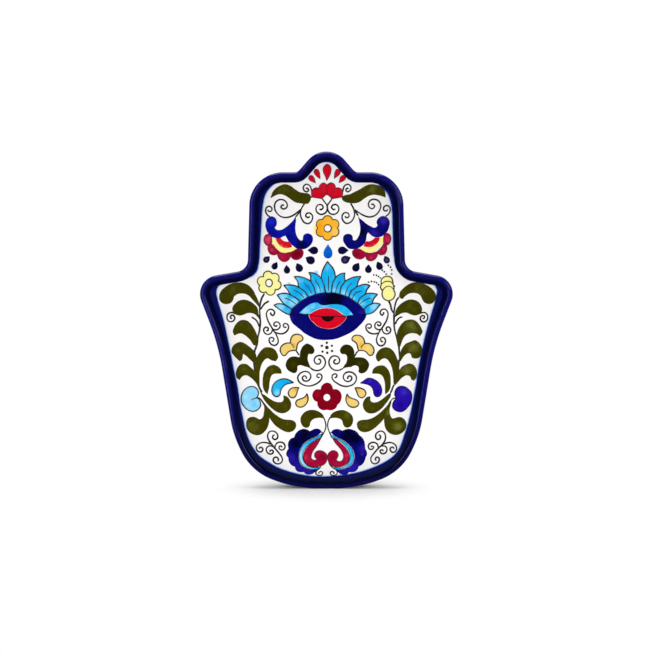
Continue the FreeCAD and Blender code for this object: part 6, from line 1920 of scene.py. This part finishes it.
    def scrolls(self) -> None:
        """Liner curls at the foot of the flower and the scroll groups of both lower corners."""
        paint = self.painter
        paint.lines("heel_curls", [
            [(321, 466.8), (318.6, 469.2), (316.2, 471.4), (315.9, 474), (318.2, 475.6), (321.4, 475.4),
             (322.7, 473.4), (321.2, 471.6), (319, 472.4)],
            [(328.8, 463), (330.4, 465.6), (333, 468.2), (336.2, 470.2), (337.3, 472.6), (336.4, 474.7),
             (334, 475.7), (331.2, 475.2), (330.2, 473.2), (331.6, 471.6), (333.8, 472.4)]],
            width=self.stem_width)
        paint.lines("corner_scrolls_left", [
            [(275, 448.3), (272, 445), (269.8, 442), (268, 438.7), (267.6, 435.2), (269.2, 432.2),
             (272.4, 431.2), (275.4, 432.2), (277.5, 435), (277.3, 438.4), (275, 439.7), (272.7, 438.4),
             (272.7, 436.2)],
            [(270.8, 444.4), (266.8, 443), (262.8, 442.7), (259, 443.8), (256.6, 446.2), (256.4, 449.2),
             (258.4, 451.8), (261.2, 452), (262.8, 449.8), (261.8, 447.8), (260.4, 447.5)],
            [(273.6, 447.4), (271, 446.1), (268, 446.6), (266.2, 449), (266.8, 452), (269.2, 454.1),
             (272, 453.9), (273.3, 451.8), (271.6, 450.2), (270.4, 450.6)],
            [(275, 448.3), (275.4, 445.4), (277.4, 443), (280.4, 442.3), (283.4, 443.4), (285, 446.2),
             (284.2, 449), (281.6, 450.3), (279.2, 448.8), (279.4, 446.4), (281, 446.2)],
            [(273.6, 447.4), (276.2, 450), (279, 453.3), (281.3, 456.6), (282.4, 459.8), (281.2, 462.8),
             (278.2, 464.1), (275, 463.2), (273.2, 460.6), (274.2, 457.9), (276.8, 457.5), (278.4, 459.4)]],
            width=self.scroll_width)
        paint.lines("corner_scrolls_right", [
            [(378.2, 448), (381.2, 446), (383.6, 443.2), (385.2, 440), (385.5, 436), (384.2, 432.8),
             (381.6, 431.3), (378.4, 432), (376, 434.4), (375.8, 437.6), (377.6, 439.7), (380.2, 438.8),
             (380.6, 436.4)],
            [(382.6, 444.4), (386.2, 443.3), (390, 442.7), (393.6, 443.7), (396.2, 446.4), (396.6, 449.4),
             (394.8, 452.2), (391.8, 452.2), (390.2, 449.6), (391, 447.7), (392.8, 447.4)],
            [(379.2, 447.4), (382.6, 446.1), (385.8, 446.8), (387, 449.6), (385.8, 452.8), (382.8, 454),
             (380.4, 452.4), (380.5, 450.4), (382.2, 450)],
            [(378.2, 448), (377.6, 444.8), (375.2, 442.9), (371.8, 442.8), (369, 444.6), (368.4, 447.4),
             (370.2, 449.6), (372.8, 449), (373.6, 446.8), (372, 446.2)],
            [(380.8, 446.2), (377, 450), (373.4, 454.4), (371, 458), (371.2, 461.6), (373.8, 463.9),
             (377.2, 463.3), (379.3, 460.6), (378.6, 457.8), (376.2, 457.6), (375.3, 459.5)]],
            width=self.scroll_width)

    def make(self) -> None:
        """Lay the pools and draw the lines."""
        self.arch()
        self.scallops()
        self.bands()
        self.paisleys()
        self.painter.draw_edges("heel_edges")
        self.scrolls()


@dataclass(frozen=True)
class Lamp:
    """A soft lamp that faces the palm: its place and size in metres and its power in watts.

    A lamp with no height is square. Mirrored says whether the glaze mirrors it.
    """

    name: str
    place: tuple[float, float, float]
    width: float
    power: float
    height: float = 0.0
    mirrored: bool = True


@dataclass
class Studio:
    """Pale floor and backdrop, soft lamps and the camera that looks straight at the painted front.

    Lengths are in metres and angles in degrees. Ground is the height that the hand stands on, front
    the depth of its front, and level scales all the lamps. The floor's own shade shows within
    floor_near of the hand and fades to white at floor_far. Sight is how far the camera sees. The
    world's strength in front is room for light and dark for mirrored light, and behind is the span
    of facing over which its mirrored light turns to white.
    """

    picture: Picture
    ground: float
    front: float
    lens: float = 400.0
    sensor: float = 36.0
    elevation: float = 1.2
    aim_share: float = 0.6
    frame_px: float = 654.0
    middle_px: Point = (327.0, 327.0)
    slope: float = 5.0
    floor_size: tuple[float, float, float] = (1.1, 0.76, 1.0)
    floor_back: float = 0.12
    floor_near: float = 0.015
    floor_far: float = 0.062
    floor_colour: Colour = (252, 252, 252)
    floor_roughness: float = 0.9
    sight: float = 50.0
    room: float = 0.23
    dark: float = 0.03
    behind: tuple[float, float] = (0.5, 0.95)
    level: float = 2.0
    lit: tuple[float, float, float] = (0.0, 0.0, -0.06)
    lamps: tuple[Lamp, ...] = (
        Lamp("key_left", (-0.6, -1.0, 0.1), 0.12, 0.9, height=0.9),
        Lamp("key_right", (0.6, -1.0, 0.25), 0.4, 0.7),
        Lamp("fill", (0.0, -4.6, 0.6), 1.2, 55.0, mirrored=False),
        Lamp("top", (0.0, -0.05, 1.0), 0.9, 4.0))

    def camera(self) -> None:
        """A long lens a little above the palm, framed as the reference picture is."""
        data = bpy.data.cameras.new("camera")
        data.lens = self.lens
        data.sensor_width = self.sensor
        data.clip_end = self.sight
        distance = self.frame_px * self.picture.pixel * self.lens / self.sensor
        across, up = self.picture.place([self.middle_px])[0]
        tilt = math.radians(self.elevation)
        camera = bpy.data.objects.new("camera", data)
        camera.location = (across, -self.aim_share * self.front - distance * math.cos(tilt),
                           up + distance * math.sin(tilt))
        camera.rotation_euler = (math.pi / 2 - tilt, 0, 0)
        bpy.context.collection.objects.link(camera)
        bpy.context.scene.camera = camera

    def hang(self, lamp: Lamp) -> None:
        """Set up one lamp, turned to the palm."""
        data = bpy.data.lights.new(lamp.name, "AREA")
        data.shape = "RECTANGLE"
        data.size = lamp.width
        data.size_y = lamp.height or lamp.width
        data.energy = lamp.power * self.level
        light = bpy.data.objects.new(lamp.name, data)
        light.location = lamp.place
        light.visible_glossy = lamp.mirrored
        light.rotation_euler = (Vector(self.lit) - Vector(lamp.place)).to_track_quat("-Z", "Y").to_euler()
        bpy.context.collection.objects.link(light)

    def white_to_camera(self, name: str) -> bpy.types.Material:
        """Matte floor finish that far from the object turns to plain white for the camera."""
        shader = Shader(name, self.floor_roughness)
        shader.surface.inputs["Specular IOR Level"].default_value = 0.0
        shader.surface.inputs["Base Color"].default_value = rgb(*self.floor_colour)
        light = shader.nodes.new("ShaderNodeEmission")
        path = shader.nodes.new("ShaderNodeLightPath")
        seen = shader.math("MAXIMUM", path.outputs["Is Camera Ray"], path.outputs["Is Glossy Ray"])
        centred = shader.nodes.new("ShaderNodeMapping")
        centred.inputs["Location"].default_value = (0.0, self.front, -self.ground)
        shader.links.new(shader.place, centred.inputs["Vector"])
        apart = shader.nodes.new("ShaderNodeVectorMath")
        apart.operation = "LENGTH"
        shader.links.new(centred.outputs["Vector"], apart.inputs[0])
        far = shader.share(apart.outputs["Value"], self.floor_near, self.floor_far)
        mix = shader.nodes.new("ShaderNodeMixShader")
        shader.links.new(shader.math("MULTIPLY", seen, far), mix.inputs["Fac"])
        shader.links.new(shader.surface.outputs["BSDF"], mix.inputs[1])
        shader.links.new(light.outputs["Emission"], mix.inputs[2])
        shader.links.new(mix.outputs["Shader"], shader.nodes["Material Output"].inputs["Surface"])
        return shader.material

    def stage(self) -> None:
        """Floor that rises gently to the back, whose far part the camera sees as white."""
        bpy.ops.object.select_all(action="DESELECT")
        bpy.ops.mesh.primitive_plane_add(size=1, location=(0, 0, 0))
        floor = bpy.context.object
        floor.name = "studio_floor"
        bpy.ops.object.mode_set(mode="EDIT")
        bpy.ops.mesh.select_all(action="SELECT")
        bpy.ops.transform.resize(value=self.floor_size)
        bpy.ops.transform.translate(value=(0, self.floor_back, self.ground))
        bpy.ops.object.mode_set(mode="OBJECT")
        for corner in floor.data.vertices:
            corner.co.z += (corner.co.y + self.front) * math.tan(math.radians(self.slope))
        floor.visible_glossy = False
        floor.data.materials.append(self.white_to_camera("studio_white"))

    def world(self) -> None:
        """Dim room in front, white behind the ornament for the camera and for reflections."""
        world = bpy.data.worlds.new("studio")
        bpy.context.scene.world = world
        world.use_nodes = True
        nodes = world.node_tree.nodes
        links = world.node_tree.links
        nodes.remove(nodes["Background"])

        def background(strength: float) -> bpy.types.NodeSocket:
            """White light of that strength."""
            node = nodes.new("ShaderNodeBackground")
            node.inputs["Color"].default_value = rgb(255, 255, 255)
            node.inputs["Strength"].default_value = strength
            return node.outputs["Background"]

        def mix(share: bpy.types.NodeSocket, first: bpy.types.NodeSocket,
                second: bpy.types.NodeSocket) -> bpy.types.NodeSocket:
            """Light that goes from first to second with the share."""
            node = nodes.new("ShaderNodeMixShader")
            for value, socket in zip((share, first, second), node.inputs):
                links.new(value, socket)
            return node.outputs["Shader"]

        room, dark, white = background(self.room), background(self.dark), background(1.0)
        towards = nodes.new("ShaderNodeSeparateXYZ")
        links.new(nodes.new("ShaderNodeTexCoord").outputs["Generated"], towards.inputs["Vector"])
        behind = nodes.new("ShaderNodeMapRange")
        behind.inputs["From Min"].default_value, behind.inputs["From Max"].default_value = self.behind
        links.new(towards.outputs["Y"], behind.inputs["Value"])
        mirrored = mix(behind.outputs["Result"], dark, white)
        path = nodes.new("ShaderNodeLightPath")
        glossy = mix(path.outputs["Is Glossy Ray"], room, mirrored)
        seen = mix(path.outputs["Is Camera Ray"], glossy, white)
        links.new(seen, nodes["World Output"].inputs["Surface"])

    def make(self) -> None:
        """Set up camera, stage and light."""
        self.camera()
        self.stage()
        self.world()
        for lamp in self.lamps:
            self.hang(lamp)
        bpy.context.scene.view_settings.view_transform = "Standard"


def main() -> None:
    """Load the frame, dress the pottery, paint the floor and set the studio."""
    logging.basicConfig(level=logging.INFO, format="%(message)s")
    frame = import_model()
    rim_low, rim_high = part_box("rim_glaze")
    picture = Picture(hand_top=rim_high[2], hand_height=rim_high[2] - rim_low[2])
    slots = {part["node"]: part["material_slot"] for part in frame["record"]["subparts"]}
    floor = -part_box("floor_glaze")[0][1]
    painter = Painter(picture, floor, slots)
    pottery = Pottery(HandOutline(), picture, depth=-rim_low[1], back=-rim_high[1], floor=floor)
    pottery.rim(RimGlaze())
    pottery.white_floor(painter, FloorGlaze())
    pottery.dress_back(frame["nodes"])
    for part in (Crest, Carnations, SideFlowers, Branches, Eye, Palm, HeelFlower):
        part(painter).make()
    Studio(picture, ground=rim_low[2], front=-rim_low[1]).make()


if __name__ == "__main__":
    main()
